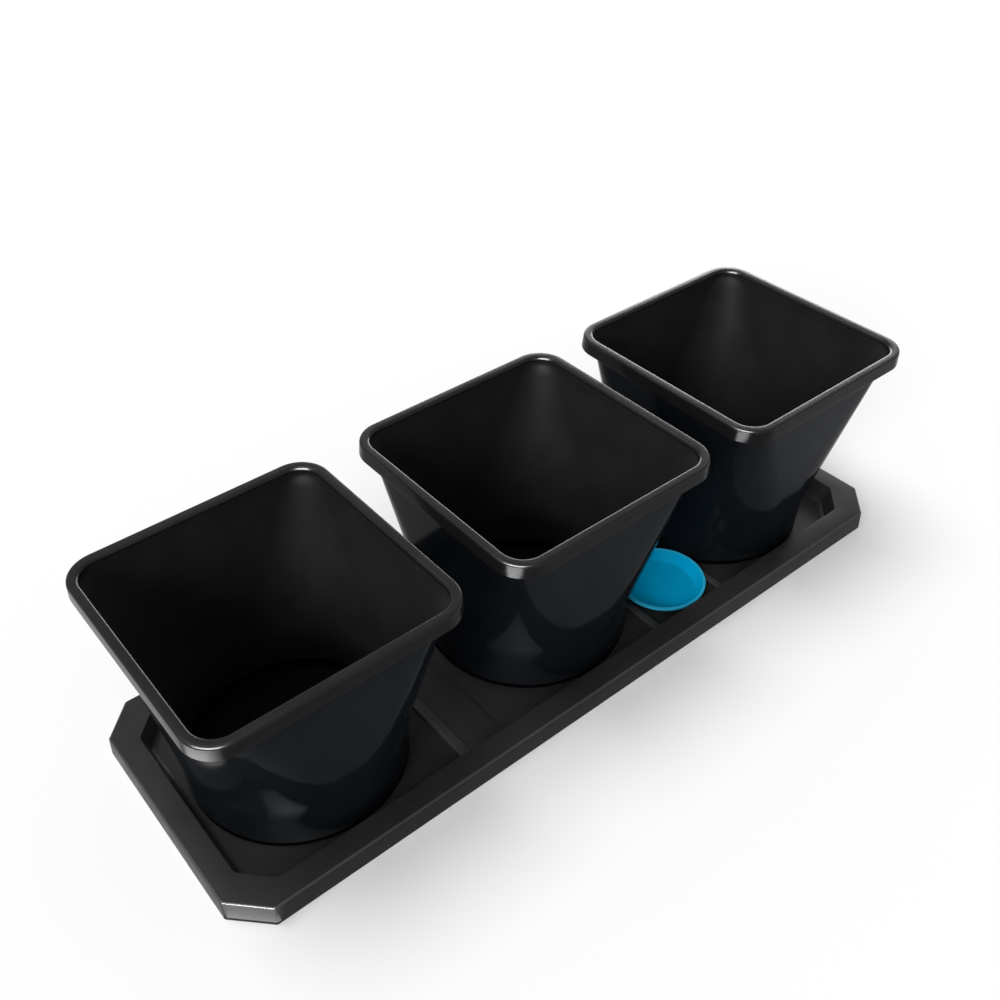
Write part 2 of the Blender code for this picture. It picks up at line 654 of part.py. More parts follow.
def make_float():
    """The rocker with its seal, and the dish screwed to its front end."""
    hinge = add_empty("float_arm_hinge", Vector((DISH_X, PIVOT_Y, PIVOT_Z)))
    arm_x = centred(DISH_X, ARM_HALF_WIDTH)
    arm = add_object("float_arm", box(arm_x, ARM_BEAM_Y, ARM_BEAM_Z), GREY_ACETAL, hinge)
    neck_z = (ARM_FOOT_Z[0] + OVERLAP, ARM_BEAM_Z[1] - OVERLAP)
    neck_x = centred(DISH_X, ARM_HALF_WIDTH - OVERLAP)
    neck_y = (ARM_NECK_Y[0] + FINE_CUT, ARM_NECK_Y[1] - FINE_CUT)
    combine(arm, [box(neck_x, neck_y, neck_z), box(arm_x, ARM_FOOT_Y, ARM_FOOT_Z)], "UNION")
    screw_places = [
        Vector((DISH_X + side * FLOAT_SCREW_X, FLOAT_SCREW_Y, 0.0)) for side in (-1, 1)
    ]
    screw_bottom = ARM_FOOT_Z[1] + GAP - FLOAT_SCREW_LENGTH
    hole_radius = FLOAT_SCREW_RADIUS + GAP
    pin_hole = cylinder(PIN_RADIUS + PIN_RUNNING_GAP, -PIN_HALF_LENGTH, PIN_HALF_LENGTH)
    pocket = cylinder(SEAL_RADIUS + GAP, ARM_BEAM_Z[0] - FINE_CUT, SEAL_Z[1] + GAP)
    holes = [
        placed(pin_hole, Vector((DISH_X, PIVOT_Y, PIVOT_Z)), "X"),
        placed(pocket, Vector((DISH_X, SEAL_Y, 0.0))),
    ]
    for place in screw_places:
        hole = cylinder(hole_radius, ARM_FOOT_Z[0] - FINE_CUT, ARM_FOOT_Z[1] + FINE_CUT)
        holes.append(placed(hole, place))
    combine(arm, holes, "DIFFERENCE")
    pad = cylinder(SEAL_RADIUS, *SEAL_Z)
    add_object("seal_pad", placed(pad, Vector((DISH_X, SEAL_Y, 0.0))), SILICONE, hinge)

    dish = add_object("float_dish", make_dish_shape(), BLUE, hinge)
    lug = box(centred(DISH_X, LUG_HALF_WIDTH), LUG_Y, LUG_Z)
    combine(dish, [lug], "UNION")
    lug_holes = []
    for place in screw_places:
        hole = cylinder(hole_radius, screw_bottom - GAP, LUG_Z[1] + FINE_CUT)
        lug_holes.append(placed(hole, place))
    combine(dish, lug_holes, "DIFFERENCE")
    head_low = ARM_FOOT_Z[1] + GAP
    for index, place in enumerate(screw_places):
        screw = turned(
            [
                (FLOAT_SCREW_RADIUS, screw_bottom),
                (FLOAT_SCREW_RADIUS, head_low),
                (FLOAT_SCREW_HEAD, head_low),
                (FLOAT_SCREW_HEAD, head_low + FLOAT_SCREW_HEAD_HEIGHT / 2),
                (FLOAT_SCREW_HEAD / 2, head_low + FLOAT_SCREW_HEAD_HEIGHT),
            ]
        )
        add_object(f"float_screw_{index + 1}", placed(screw, place), STEEL, hinge)


def make_dish_shape():
    """The open dish, turned, with a flat lip and sides that curve into its floor."""
    inner_top = DISH_RADIUS - DISH_LIP_WIDTH
    outer_top = inner_top + DISH_WALL
    floor = DISH_LIP_Z - DISH_DEPTH
    lip_under = DISH_LIP_Z - DISH_LIP_DROP
    inside = []
    outside = []
    for step in range(DISH_SIDE_STEPS + 1):
        angle = math.pi / 2 * step / DISH_SIDE_STEPS
        reach = math.sin(angle)
        rise = 1 - math.cos(angle)
        radius = DISH_FLOOR_RADIUS + reach * (inner_top - DISH_FLOOR_RADIUS)
        inside.append((radius, floor + rise * (DISH_DEPTH - DISH_LIP_INNER_RISE)))
        radius = DISH_FLOOR_RADIUS + reach * (outer_top - DISH_FLOOR_RADIUS)
        outside.append((radius, floor - DISH_WALL + rise * (lip_under - floor + DISH_WALL)))
    profile = [
        *inside,
        (inner_top + DISH_LIP_INNER_RUN, DISH_LIP_Z),
        (DISH_RADIUS - DISH_LIP_EDGE, DISH_LIP_Z),
        (DISH_RADIUS, DISH_LIP_Z - DISH_LIP_EDGE),
        (DISH_RADIUS, lip_under),
        *reversed(outside),
    ]
    return placed(turned(profile, DISH_STEPS), Vector((DISH_X, DISH_Y, 0.0)))


def main():
    """Builds every piece of the planter."""
    clear_scene()
    make_tray()
    make_pots()
    make_valve_body()
    make_valve_fittings()
    make_valve_cover()
    make_float()


main()
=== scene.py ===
"""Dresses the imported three-pot watering planter: fine meshes, finishes, studio and camera."""

import logging
import math
from dataclasses import dataclass, replace
from enum import Enum
from functools import cache
from typing import Any

import bmesh
import bpy
from mathutils import Matrix, Vector


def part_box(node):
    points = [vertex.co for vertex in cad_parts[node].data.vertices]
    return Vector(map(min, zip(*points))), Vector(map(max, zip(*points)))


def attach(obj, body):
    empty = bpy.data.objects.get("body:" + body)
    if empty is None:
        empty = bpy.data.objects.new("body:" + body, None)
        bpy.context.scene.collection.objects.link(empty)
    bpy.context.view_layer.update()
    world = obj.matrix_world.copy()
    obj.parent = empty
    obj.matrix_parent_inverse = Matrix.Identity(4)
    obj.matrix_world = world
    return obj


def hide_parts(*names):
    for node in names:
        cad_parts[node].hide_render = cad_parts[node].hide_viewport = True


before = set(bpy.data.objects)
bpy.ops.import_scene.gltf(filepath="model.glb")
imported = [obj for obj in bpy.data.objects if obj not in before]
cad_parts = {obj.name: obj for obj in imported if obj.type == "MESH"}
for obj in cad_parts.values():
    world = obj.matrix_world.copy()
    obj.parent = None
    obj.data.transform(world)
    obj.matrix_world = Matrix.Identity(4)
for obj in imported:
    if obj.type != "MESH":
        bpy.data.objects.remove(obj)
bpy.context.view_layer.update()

MM = 0.001
ARC_STEPS = 5
WHITE = "#ffffff"
LOG = logging.getLogger("planter")

Shape = bmesh.types.BMesh
Piece = bpy.types.Object
Ring = list[Vector]
Corner = tuple[Vector, float]
Span = tuple[float, float]
Row = tuple[float, float, float]
Measures = tuple[float, float, float, float]
Slab = tuple[Span, Span, Span, float, float]
Colours = tuple[str, str]


class Axis(Enum):
    """The direction in which a turned shape is laid: a turn in degrees and the axis it is about."""

    X = (90, "Y")
    Y = (-90, "X")
    Z = (0, "Z")


class Join(Enum):
    """How one shape is worked into another."""

    ADD = "UNION"
    CUT = "DIFFERENCE"


def linear(code: str) -> tuple[float, float, float, float]:
    """Turns an sRGB hex colour into linear light.

    Args:
        code: The colour as #rrggbb.

    Returns:
        Red, green, blue and alpha.
    """
    values = []
    for start in (1, 3, 5):
        share = int(code[start:start + 2], 16) / 255
        low = share / 12.92
        high = ((share + 0.055) / 1.055) ** 2.4
        values.append(low if share <= 0.04045 else high)
    return (*values, 1.0)


def wire(tree: bpy.types.NodeTree, node: bpy.types.Node, inputs: dict[str | int, Any]) -> None:
    """Sets the sockets of a node.

    Args:
        tree: The node tree that holds the node.
        node: The node.
        inputs: Values for its sockets, or output sockets that are linked to them.
    """
    for key, value in inputs.items():
        if isinstance(value, bpy.types.NodeSocket):
            tree.links.new(value, node.inputs[key])
        else:
            node.inputs[key].default_value = value


def add_node(
    tree: bpy.types.NodeTree,
    kind: str,
    inputs: dict[str | int, Any] | None = None,
    **settings: Any,
) -> bpy.types.Node:
    """Adds one shader node.

    Args:
        tree: The node tree that gets the node.
        kind: Blender's name for the type of shader node, less its prefix.
        inputs: Values for its sockets, or output sockets that are linked to them.
        settings: Properties of the node itself.

    Returns:
        The new node.
    """
    made = tree.nodes.new(f"ShaderNode{kind}")
    for name, value in settings.items():
        setattr(made, name, value)
    wire(tree, made, inputs or {})
    return made


def per_metre(size_mm: float) -> float:
    """The texture scale at which one feature is this many millimetres wide."""
    return 1 / (size_mm * MM)


def new_material(
    name: str,
) -> tuple[bpy.types.Material, bpy.types.NodeTree, bpy.types.Node, bpy.types.NodeSocket]:
    """Starts a material.

    Args:
        name: What the finish is called.

    Returns:
        The material, its node tree, its shader and the socket that gives the place on the object.
    """
    made = bpy.data.materials.new(name)
    made.use_nodes = True
    tree = made.node_tree
    place = add_node(tree, "TexCoord").outputs["Object"]
    return made, tree, tree.nodes["Principled BSDF"], place


# On the real pieces, tool grain, dust, felt fibres and drawing lines are too fine to show from here.
# Each is drawn as coarse as it needs to show.


@dataclass(frozen=True)
class MouldedPlastic:
    """A plastic or rubber moulding: faint clouding, uneven gloss, tool grain and dust.

    The colours are the ground and its clouding. Grain and wave are a width and a depth.
    """

    name: str
    colours: Colours
    roughness: Span
    specular: float
    cloud_mm: float
    gloss_mm: float
    grain_mm: Span
    wave_mm: Span
    dust_mm: float
    dust_share: float
    ior: float = 1.49
    dust_colour: str = "#8f9194"
    gleam_colour: str = WHITE
    cloud_stops: Span = (0.35, 0.7)
    speck_edge: Span = (0.78, 0.84)
    gloss_range: Span = (0.3, 0.7)

    def material(self) -> bpy.types.Material:
        """Builds the material's nodes.

        Returns:
            The material.
        """
        made, tree, shader, place = new_material(self.name)
        amount = {}
        for pattern, width_mm, detail in (
            ("cloud", self.cloud_mm, 3.0),
            ("dust", self.dust_mm, 1.0),
            ("gloss", self.gloss_mm, 4.0),
            ("wave", self.wave_mm[0], 1.0),
            ("grain", self.grain_mm[0], 2.0),
        ):
            sockets = {"Vector": place, "Scale": per_metre(width_mm), "Detail": detail}
            amount[pattern] = add_node(tree, "TexNoise", sockets).outputs["Fac"]
        tone = add_node(tree, "ValToRGB", {"Fac": amount["cloud"]})
        for stop, position, colour in zip(tone.color_ramp.elements, self.cloud_stops, self.colours):
            stop.position = position
            stop.color = linear(colour)
        for pattern, source, target in (
            ("dust", self.speck_edge, (0.0, self.dust_share)),
            ("gloss", self.gloss_range, self.roughness),
        ):
            sockets = {"Value": amount[pattern], "From Min": source[0], "From Max": source[1]}
            sockets |= {"To Min": target[0], "To Max": target[1]}
            amount[pattern] = add_node(tree, "MapRange", sockets).outputs["Result"]
        sockets = {"Factor": amount["dust"], "A": tone.outputs["Color"], "B": linear(self.dust_colour)}
        surface = add_node(tree, "Mix", sockets, data_type="RGBA").outputs["Result"]
        normal = {}
        for pattern, depth_mm in (("wave", self.wave_mm[1]), ("grain", self.grain_mm[1])):
            sockets = {"Height": amount[pattern], "Distance": depth_mm * MM, **normal}
            normal = {"Normal": add_node(tree, "Bump", sockets).outputs["Normal"]}
        looks = {
            "IOR": self.ior,
            "Specular IOR Level": self.specular,
            "Specular Tint": linear(self.gleam_colour),
            "Base Color": surface,
            "Roughness": amount["gloss"],
            **normal,
        }
        wire(tree, shader, looks)
        return made


@dataclass(frozen=True)
class NeedledFelt:
    """Root-control felt: matted fibres in two tones, without gloss. The second colour is the fibres'."""

    name: str
    colours: Colours
    fibre_mm: float
    clump_mm: float
    depth_mm: float
    bend: float = 1.5
    tangle: float = 6.0
    detail: float = 3.0
    roughness: float = 0.95
    specular: float = 0.05

    def material(self) -> bpy.types.Material:
        """Builds the material's nodes.

        Returns:
            The material.
        """
        made, tree, shader, place = new_material(self.name)
        sockets = {"Vector": place, "Scale": per_metre(self.clump_mm), "Distortion": self.bend}
        bent = add_node(tree, "TexNoise", {**sockets, "Detail": self.detail}).outputs["Color"]
        sockets = {"Vector": bent, "Scale": self.clump_mm / self.fibre_mm, "Distortion": self.tangle}
        fibres = add_node(tree, "TexWave", {**sockets, "Detail": self.detail}).outputs["Fac"]
        tone = add_node(tree, "ValToRGB", {"Fac": fibres})
        for stop, colour in zip(tone.color_ramp.elements, self.colours):
            stop.color = linear(colour)
        relief = add_node(tree, "Bump", {"Height": fibres, "Distance": self.depth_mm * MM})
        looks = {
            "Roughness": self.roughness,
            "Specular IOR Level": self.specular,
            "Base Color": tone.outputs["Color"],
            "Normal": relief.outputs["Normal"],
        }
        wire(tree, shader, looks)
        return made


@dataclass(frozen=True)
class DrawnSteel:
    """Stainless steel wire and screws: fine drawing lines, the first colour, on bright metal."""

    name: str
    colours: Colours
    roughness: Span
    line_mm: float
    detail: float = 4.0

    def material(self) -> bpy.types.Material:
        """Builds the material's nodes.

        Returns:
            The material.
        """
        made, tree, shader, place = new_material(self.name)
        sockets = {"Vector": place, "Scale": per_metre(self.line_mm), "Detail": self.detail}
        lines = add_node(tree, "TexNoise", sockets).outputs["Fac"]
        tone = add_node(tree, "ValToRGB", {"Fac": lines})
        for stop, colour in zip(tone.color_ramp.elements, self.colours):
            stop.color = linear(colour)
        low, high = self.roughness
        dull = add_node(tree, "MapRange", {"Value": lines, "To Min": low, "To Max": high})
        looks = {"Base Color": tone.outputs["Color"], "Roughness": dull.outputs["Result"]}
        wire(tree, shader, {"Metallic": 1.0, **looks})
        return made


# Polypropylene from a polished tool: cold black, mirror-like with a faint waviness and dust. Its
# reflections are tinted blue: a painted reflection of blue sky.
POLISHED_POT = MouldedPlastic(
    name="polypropylene_polished_black",
    colours=("#121519", "#16191d"), roughness=(0.06, 0.13), specular=0.022,
    cloud_mm=70, gloss_mm=45, grain_mm=(1.6, 0.004), wave_mm=(38, 0.10),
    dust_mm=2.4, dust_share=0.3, gleam_colour="#cfe0ff",
)

# The same moulding down the rim's band, buffed a little by handling: reflections stand out more.
BUFFED_BAND = replace(
    POLISHED_POT, name="polypropylene_buffed_black",
    colours=("#161616", "#1a1a1b"), roughness=(0.14, 0.2), specular=0.05,
    wave_mm=(38, 0.03),
    gleam_colour=WHITE,
)

# The same moulding over the rim's crown, rubbed by hands: it draws soft lines of light.
WORN_CROWN = replace(
    BUFFED_BAND, name="polypropylene_worn_black",
    roughness=(0.2, 0.28), specular=0.12,
)

# The same polypropylene on the unpolished core side: dull black with a fine even grain.
SATIN_POT = MouldedPlastic(
    name="polypropylene_satin_black",
    colours=("#262626", "#2b2b2b"), roughness=(0.42, 0.55), specular=0.012,
    cloud_mm=60, gloss_mm=30, grain_mm=(1.4, 0.05), wave_mm=(60, 0.1),
    dust_mm=2.0, dust_share=0.02,
)

# The same polypropylene on the pot's floor and foot, painted darker than the wall as shade: the shade deep
# in the pot and the contact shadow round the foot. Dull.
PAINTED_SHADE_FLOOR = replace(
    SATIN_POT, name="polypropylene_soil_stained_black",
    colours=("#070707", "#0b0b0b"), roughness=(0.7, 0.85), specular=0.0,
)

# Polypropylene from a fine-textured tool: charcoal with a soft, broad sheen and light scuffs.
SATIN_TRAY = MouldedPlastic(
    name="polypropylene_textured_charcoal",
    colours=("#292929", "#2e2e2e"), roughness=(0.3, 0.4), specular=0.055,
    cloud_mm=90, gloss_mm=35, grain_mm=(1.5, 0.04), wave_mm=(80, 0.12),
    dust_mm=2.4, dust_share=0.25,
)

# The same polypropylene along the flange's outer edge and the ribs' tops, scuffed smooth with a sharper
# shine, and painted paler: wear and a painted highlight.
WORN_EDGE_PAINTED_HIGHLIGHT = replace(
    SATIN_TRAY, name="polypropylene_scuffed_charcoal",
    colours=("#3a3a3a", "#424242"), roughness=(0.2, 0.3), specular=0.15,
)

# Blue polypropylene from a polished tool: clean saturated colour under an even, soft gloss.
BLUE_DISH = MouldedPlastic(
    name="polypropylene_gloss_blue",
    colours=("#009ac8", "#009ecd"), roughness=(0.3, 0.4), specular=0.03,
    cloud_mm=30, gloss_mm=20, grain_mm=(1.2, 0.006), wave_mm=(25, 0.03),
    dust_mm=1.6, dust_share=0.1, dust_colour="#7fc4da",
)

# The same blue polypropylene in the dish's thin wall, painted a paler blue than the floor: painted light on
# the wall.
BLUE_WALL_PAINTED_LIGHT = replace(
    BLUE_DISH, name="polypropylene_thin_blue",
    colours=("#00abde", "#00afe3"),
)

# The same blue polypropylene round the dish's lip: paler still and a little greyer.
PALE_LIP = replace(
    BLUE_DISH, name="polypropylene_worn_blue",
    colours=("#2fb6e0", "#34bae4"),
)

# Moulded acetal: slippery mid grey with a waxy half gloss.
GREY_ACETAL = MouldedPlastic(
    name="acetal_moulded_grey",
    colours=("#5b5d60", "#66686b"), roughness=(0.3, 0.42), specular=0.5,
    cloud_mm=12, gloss_mm=8, grain_mm=(0.8, 0.01), wave_mm=(10, 0.02),
    dust_mm=1.2, dust_share=0.15, ior=1.48,
)

# Moulded acetal without pigment: milky white with a waxy half gloss.
WHITE_ACETAL = replace(
    GREY_ACETAL, name="acetal_moulded_white",
    colours=("#d8d7d0", "#e2e1da"), roughness=(0.28, 0.4),
    cloud_mm=6, gloss_mm=5, grain_mm=(0.6, 0.008), wave_mm=(6, 0.01),
    dust_mm=1.0, dust_share=0.1,
)

# Moulded silicone: soft brick red, almost without shine.
RED_SILICONE = MouldedPlastic(
    name="silicone_moulded_red",
    colours=("#a2402f", "#ac4a38"), roughness=(0.55, 0.7), specular=0.3,
    cloud_mm=4, gloss_mm=3, grain_mm=(0.5, 0.01), wave_mm=(5, 0.01),
    dust_mm=0.8, dust_share=0.2, ior=1.41,
)

# Moulded nitrile rubber: matt black with a slight bloom.
NITRILE = replace(
    RED_SILICONE, name="nitrile_rubber_moulded_black",
    colours=("#161616", "#1f1f1f"), roughness=(0.6, 0.75),
    cloud_mm=3, wave_mm=(4, 0.01),
    dust_share=0.25, ior=1.52,
)

# Needled polyester felt: near black, matted, with no gloss and single lighter fibres.
FELT = NeedledFelt(
    name="polyester_felt_needled_black",
    colours=("#050505", "#0c0c0c"),
    fibre_mm=1.2, clump_mm=14, depth_mm=0.25,
)

# Stainless steel, drawn and cold headed: light grey metal with hairline marks.
STEEL = DrawnSteel(
    name="stainless_steel_drawn",
    colours=("#a9abad", "#c9cacc"), roughness=(0.22, 0.38),
    line_mm=0.6,
)

Finish = MouldedPlastic | NeedledFelt | DrawnSteel


@cache
def material_of(finish: Finish) -> bpy.types.Material:
    """The finish's material, built at its first use."""
    return finish.material()


def softened(corners: list[Corner], steps: int = ARC_STEPS, closed: bool = False) -> list[Vector]:
    """Rounds the corners of a line.

    Args:
        corners: Points, each with the length trimmed off both sides of its corner.
        steps: Straight pieces in each arc.
        closed: Whether the last point joins the first.

    Returns:
        The points of the rounded line.
    """
    line = []
    count = len(corners)
    for index, (point, trim) in enumerate(corners):
        if trim <= 0 or (not closed and index in (0, count - 1)):
            line.append(point.copy())
            continue
        before = corners[index - 1][0] - point
        after = corners[(index + 1) % count][0] - point
        start = point + before.normalized() * trim
        end = point + after.normalized() * trim
        bulge = math.cos((math.pi - before.angle(after)) / 2)
        for step in range(steps + 1):
            share = step / steps
            first = (1 - share) ** 2
            middle = 2 * bulge * share * (1 - share)
            last = share ** 2
            line.append((start * first + point * middle + end * last) / (first + middle + last))
    return line


def outline(rows: list[Row], steps: int = ARC_STEPS, closed: bool = False) -> list[Vector]:
    """A rounded flat line from rows of two measures and a trim, all in millimetres."""
    return softened([(Vector((a, b)) * MM, trim * MM) for a, b, trim in rows], steps, closed)


def skin(rings: list[Ring], loop: bool = False, zones: list[int] | None = None) -> Shape:
    """Covers rings of equal point count with faces.

    Args:
        rings: The rings in order.
        loop: Joins the last ring to the first; otherwise both ends are capped.
        zones: The finish number of each gap between two rings.

    Returns:
        The closed shape.
    """
    shape = bmesh.new()
    rows = [[shape.verts.new(point) for point in ring] for ring in rings]
    following = rows[1:] + rows[:1] if loop else rows[1:]
    count = len(rows[0])
    for gap, (row, upper) in enumerate(zip(rows, following)):
        for index in range(count):
            after = (index + 1) % count
            face = shape.faces.new((row[index], row[after], upper[after], upper[index]))
            face.material_index = zones[gap] if zones else 0
    if not loop:
        for row, zone in ((rows[0], 0), (rows[-1], -1)):
            cap = shape.faces.new(row)
            cap.material_index = zones[zone] if zones else 0
    return shape


def circle(radius: float, height: float, steps: int) -> Ring:
    """A level ring about Z."""
    turns = [math.tau * index / steps for index in range(steps)]
    return [Vector((radius * math.cos(a), radius * math.sin(a), height)) for a in turns]


def turned(
    profile: list[Vector], steps: int = 48, loop: bool = False, zones: list[int] | None = None
) -> Shape:
    """Turns a profile about Z.

    Args:
        profile: Radius and height of each point.
        steps: Faces around the axis.
        loop: Whether the profile closes on itself, as in a tube.
        zones: The finish number of each strip of the profile.

    Returns:
        The closed shape.
    """
    return skin([circle(point.x, point.y, steps) for point in profile], loop, zones)


def laid(shape: Shape, place: Vector, axis: Axis = Axis.Z) -> Shape:
    """Lays a shape made about Z along an axis and moves it into place.

    Args:
        shape: The shape to move.
        place: Where its own origin goes.
        axis: The direction that its Z takes.

    Returns:
        The same shape.
    """
    degrees, about = axis.value
    turn = Matrix.Rotation(math.radians(degrees), 4, about)
    shape.transform(Matrix.Translation(place) @ turn)
    return shape


def rod(radius: float, ends: Span, rounds: Span, core: float, arcs: int, sides: int) -> Shape:
    """A round bar about Z, in millimetres.

    Args:
        radius: Its radius.
        ends: Where it starts and ends.
        rounds: How far its first and its last edge are rounded.
        core: Radius of the flat in the middle of each end.
        arcs: Straight pieces in each round.
        sides: Faces around the axis.

    Returns:
        The closed shape.
    """
    low, high = ends
    rows = [(core, low, 0), (radius, low, rounds[0]), (radius, high, rounds[1]), (core, high, 0)]
    return turned(outline(rows, arcs), sides)


def bore(radius: float, ends: Span, place: Vector, axis: Axis = Axis.Z, sides: int = 32) -> Shape:
    """A plain hole along an axis, in millimetres."""
    return laid(turned(outline([(radius, end, 0) for end in ends]), sides), place, axis)


def around(middle: float, half: float) -> Span:
    """The reach of a half width to both sides of a middle."""
    return (middle - half, middle + half)


def block(x: Span, y: Span, z: Span, edge: float, top_edge: float = 0.0) -> Shape:
    """A box with rounded upright edges, in millimetres.

    Args:
        x: Its reach along X.
        y: Its reach along Y.
        z: Its reach along Z.
        edge: Trim of the upright edges.
        top_edge: How far the top's rim is rounded over.

    Returns:
        The closed shape.
    """
    round_steps = 4
    least_edge = edge / 4
    levels = [(0.0, z[0]), (0.0, z[1] - top_edge)]
    if top_edge:
        for step in range(1, round_steps + 1):
            angle = math.pi / 2 * step / round_steps
            levels.append((top_edge * (1 - math.cos(angle)), z[1] - top_edge * (1 - math.sin(angle))))
    rings = []
    for inset, height in levels:
        trim = max(edge - inset, least_edge)
        sides = (x[0] + inset, x[1] - inset)
        ends = (y[0] + inset, y[1] - inset)
        plan = [(sides[a], ends[b], trim) for a, b in ((0, 0), (1, 0), (1, 1), (0, 1))]
        rings.append([Vector((p.x, p.y, height * MM)) for p in outline(plan, closed=True)])
    return skin(rings)


def gathered(shapes: list[Shape]) -> Shape:
    """Puts several separate shapes into one, for a single cut or joint.

    Args:
        shapes: The shapes, which are used up.

    Returns:
        The one shape.
    """
    whole = bmesh.new()
    for shape in shapes:
        carrier = bpy.data.meshes.new("carrier")
        bmesh.ops.recalc_face_normals(shape, faces=shape.faces[:])
        shape.to_mesh(carrier)
        shape.free()
        whole.from_mesh(carrier)
        bpy.data.meshes.remove(carrier)
    return whole


def new_object(name: str, shape: Shape, *finishes: Finish) -> Piece:
    """Turns a shape into an object of the scene.

    Args:
        name: What the object is called.
        shape: The shape, which is used up.
        finishes: Its finishes, in the order of the shape's zones.

    Returns:
        The object.
    """
    bmesh.ops.recalc_face_normals(shape, faces=shape.faces[:])
    mesh = bpy.data.meshes.new(name)
    shape.to_mesh(mesh)
    shape.free()
    for finish in finishes:
        mesh.materials.append(material_of(finish))
    made = bpy.data.objects.new(name, mesh)
    bpy.context.scene.collection.objects.link(made)
    return made


def settle(piece: Piece) -> None:
    """Applies a piece's modifiers to its mesh.

    Args:
        piece: The piece that is changed.
    """
    bpy.context.view_layer.update()
    graph = bpy.context.evaluated_depsgraph_get()
    mesh = bpy.data.meshes.new_from_object(piece.evaluated_get(graph))
    old = piece.data
    piece.modifiers.clear()
    piece.data = mesh
    bpy.data.meshes.remove(old)
    mesh.name = piece.name


def worked(piece: Piece, shape: Shape, join: Join) -> None:
    """Works a shape into a piece.

    Args:
        piece: The piece that is changed.
        shape: The shape that is added or cut away.
        join: Which of the two it is.
    """
    helper = new_object("helper", shape)
    modifier = piece.modifiers.new("join", "BOOLEAN")
    modifier.operation = join.value
    modifier.object = helper
    settle(piece)
    mesh = helper.data
    bpy.data.objects.remove(helper)
    bpy.data.meshes.remove(mesh)


def broken_edges(piece: Piece, width_mm: float, segments: int = 2, sharp: float = 40) -> None:
    """Breaks a piece's sharp edges with a small round.

    Args:
        piece: The piece that is changed.
        width_mm: How wide the round is.
        segments: Strips in the round.
        sharp: Edges over this angle, in degrees, are broken.
    """
    modifier = piece.modifiers.new("edges", "BEVEL")
    modifier.width = width_mm * MM
    modifier.segments = segments
    modifier.limit_method = "ANGLE"
    modifier.angle_limit = math.radians(sharp)
    modifier.use_clamp_overlap = True
    settle(piece)


def middle_of(node: str, height: float) -> Vector:
    """The middle of a CAD node in plan, at a height in millimetres."""
    low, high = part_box(node)
    return Vector(((low[0] + high[0]) / 2, (low[1] + high[1]) / 2, height * MM))


def fitted(piece: Piece, body: str, node: str, sharp: float = 38) -> None:
    """Shades a piece smooth and puts it on its body in place of a CAD node.

    Args:
        piece: The finished piece.
        body: The body that it moves with.
        node: The CAD node that it stands for.
        sharp: Edges over this angle, in degrees, stay sharp.
    """
    piece.data.shade_smooth()
    piece.data.set_sharp_from_angle(angle=math.radians(sharp))
    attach(piece, body)
    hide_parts(node)
    LOG.info("%s: %d faces on %s", piece.name, len(piece.data.polygons), body)


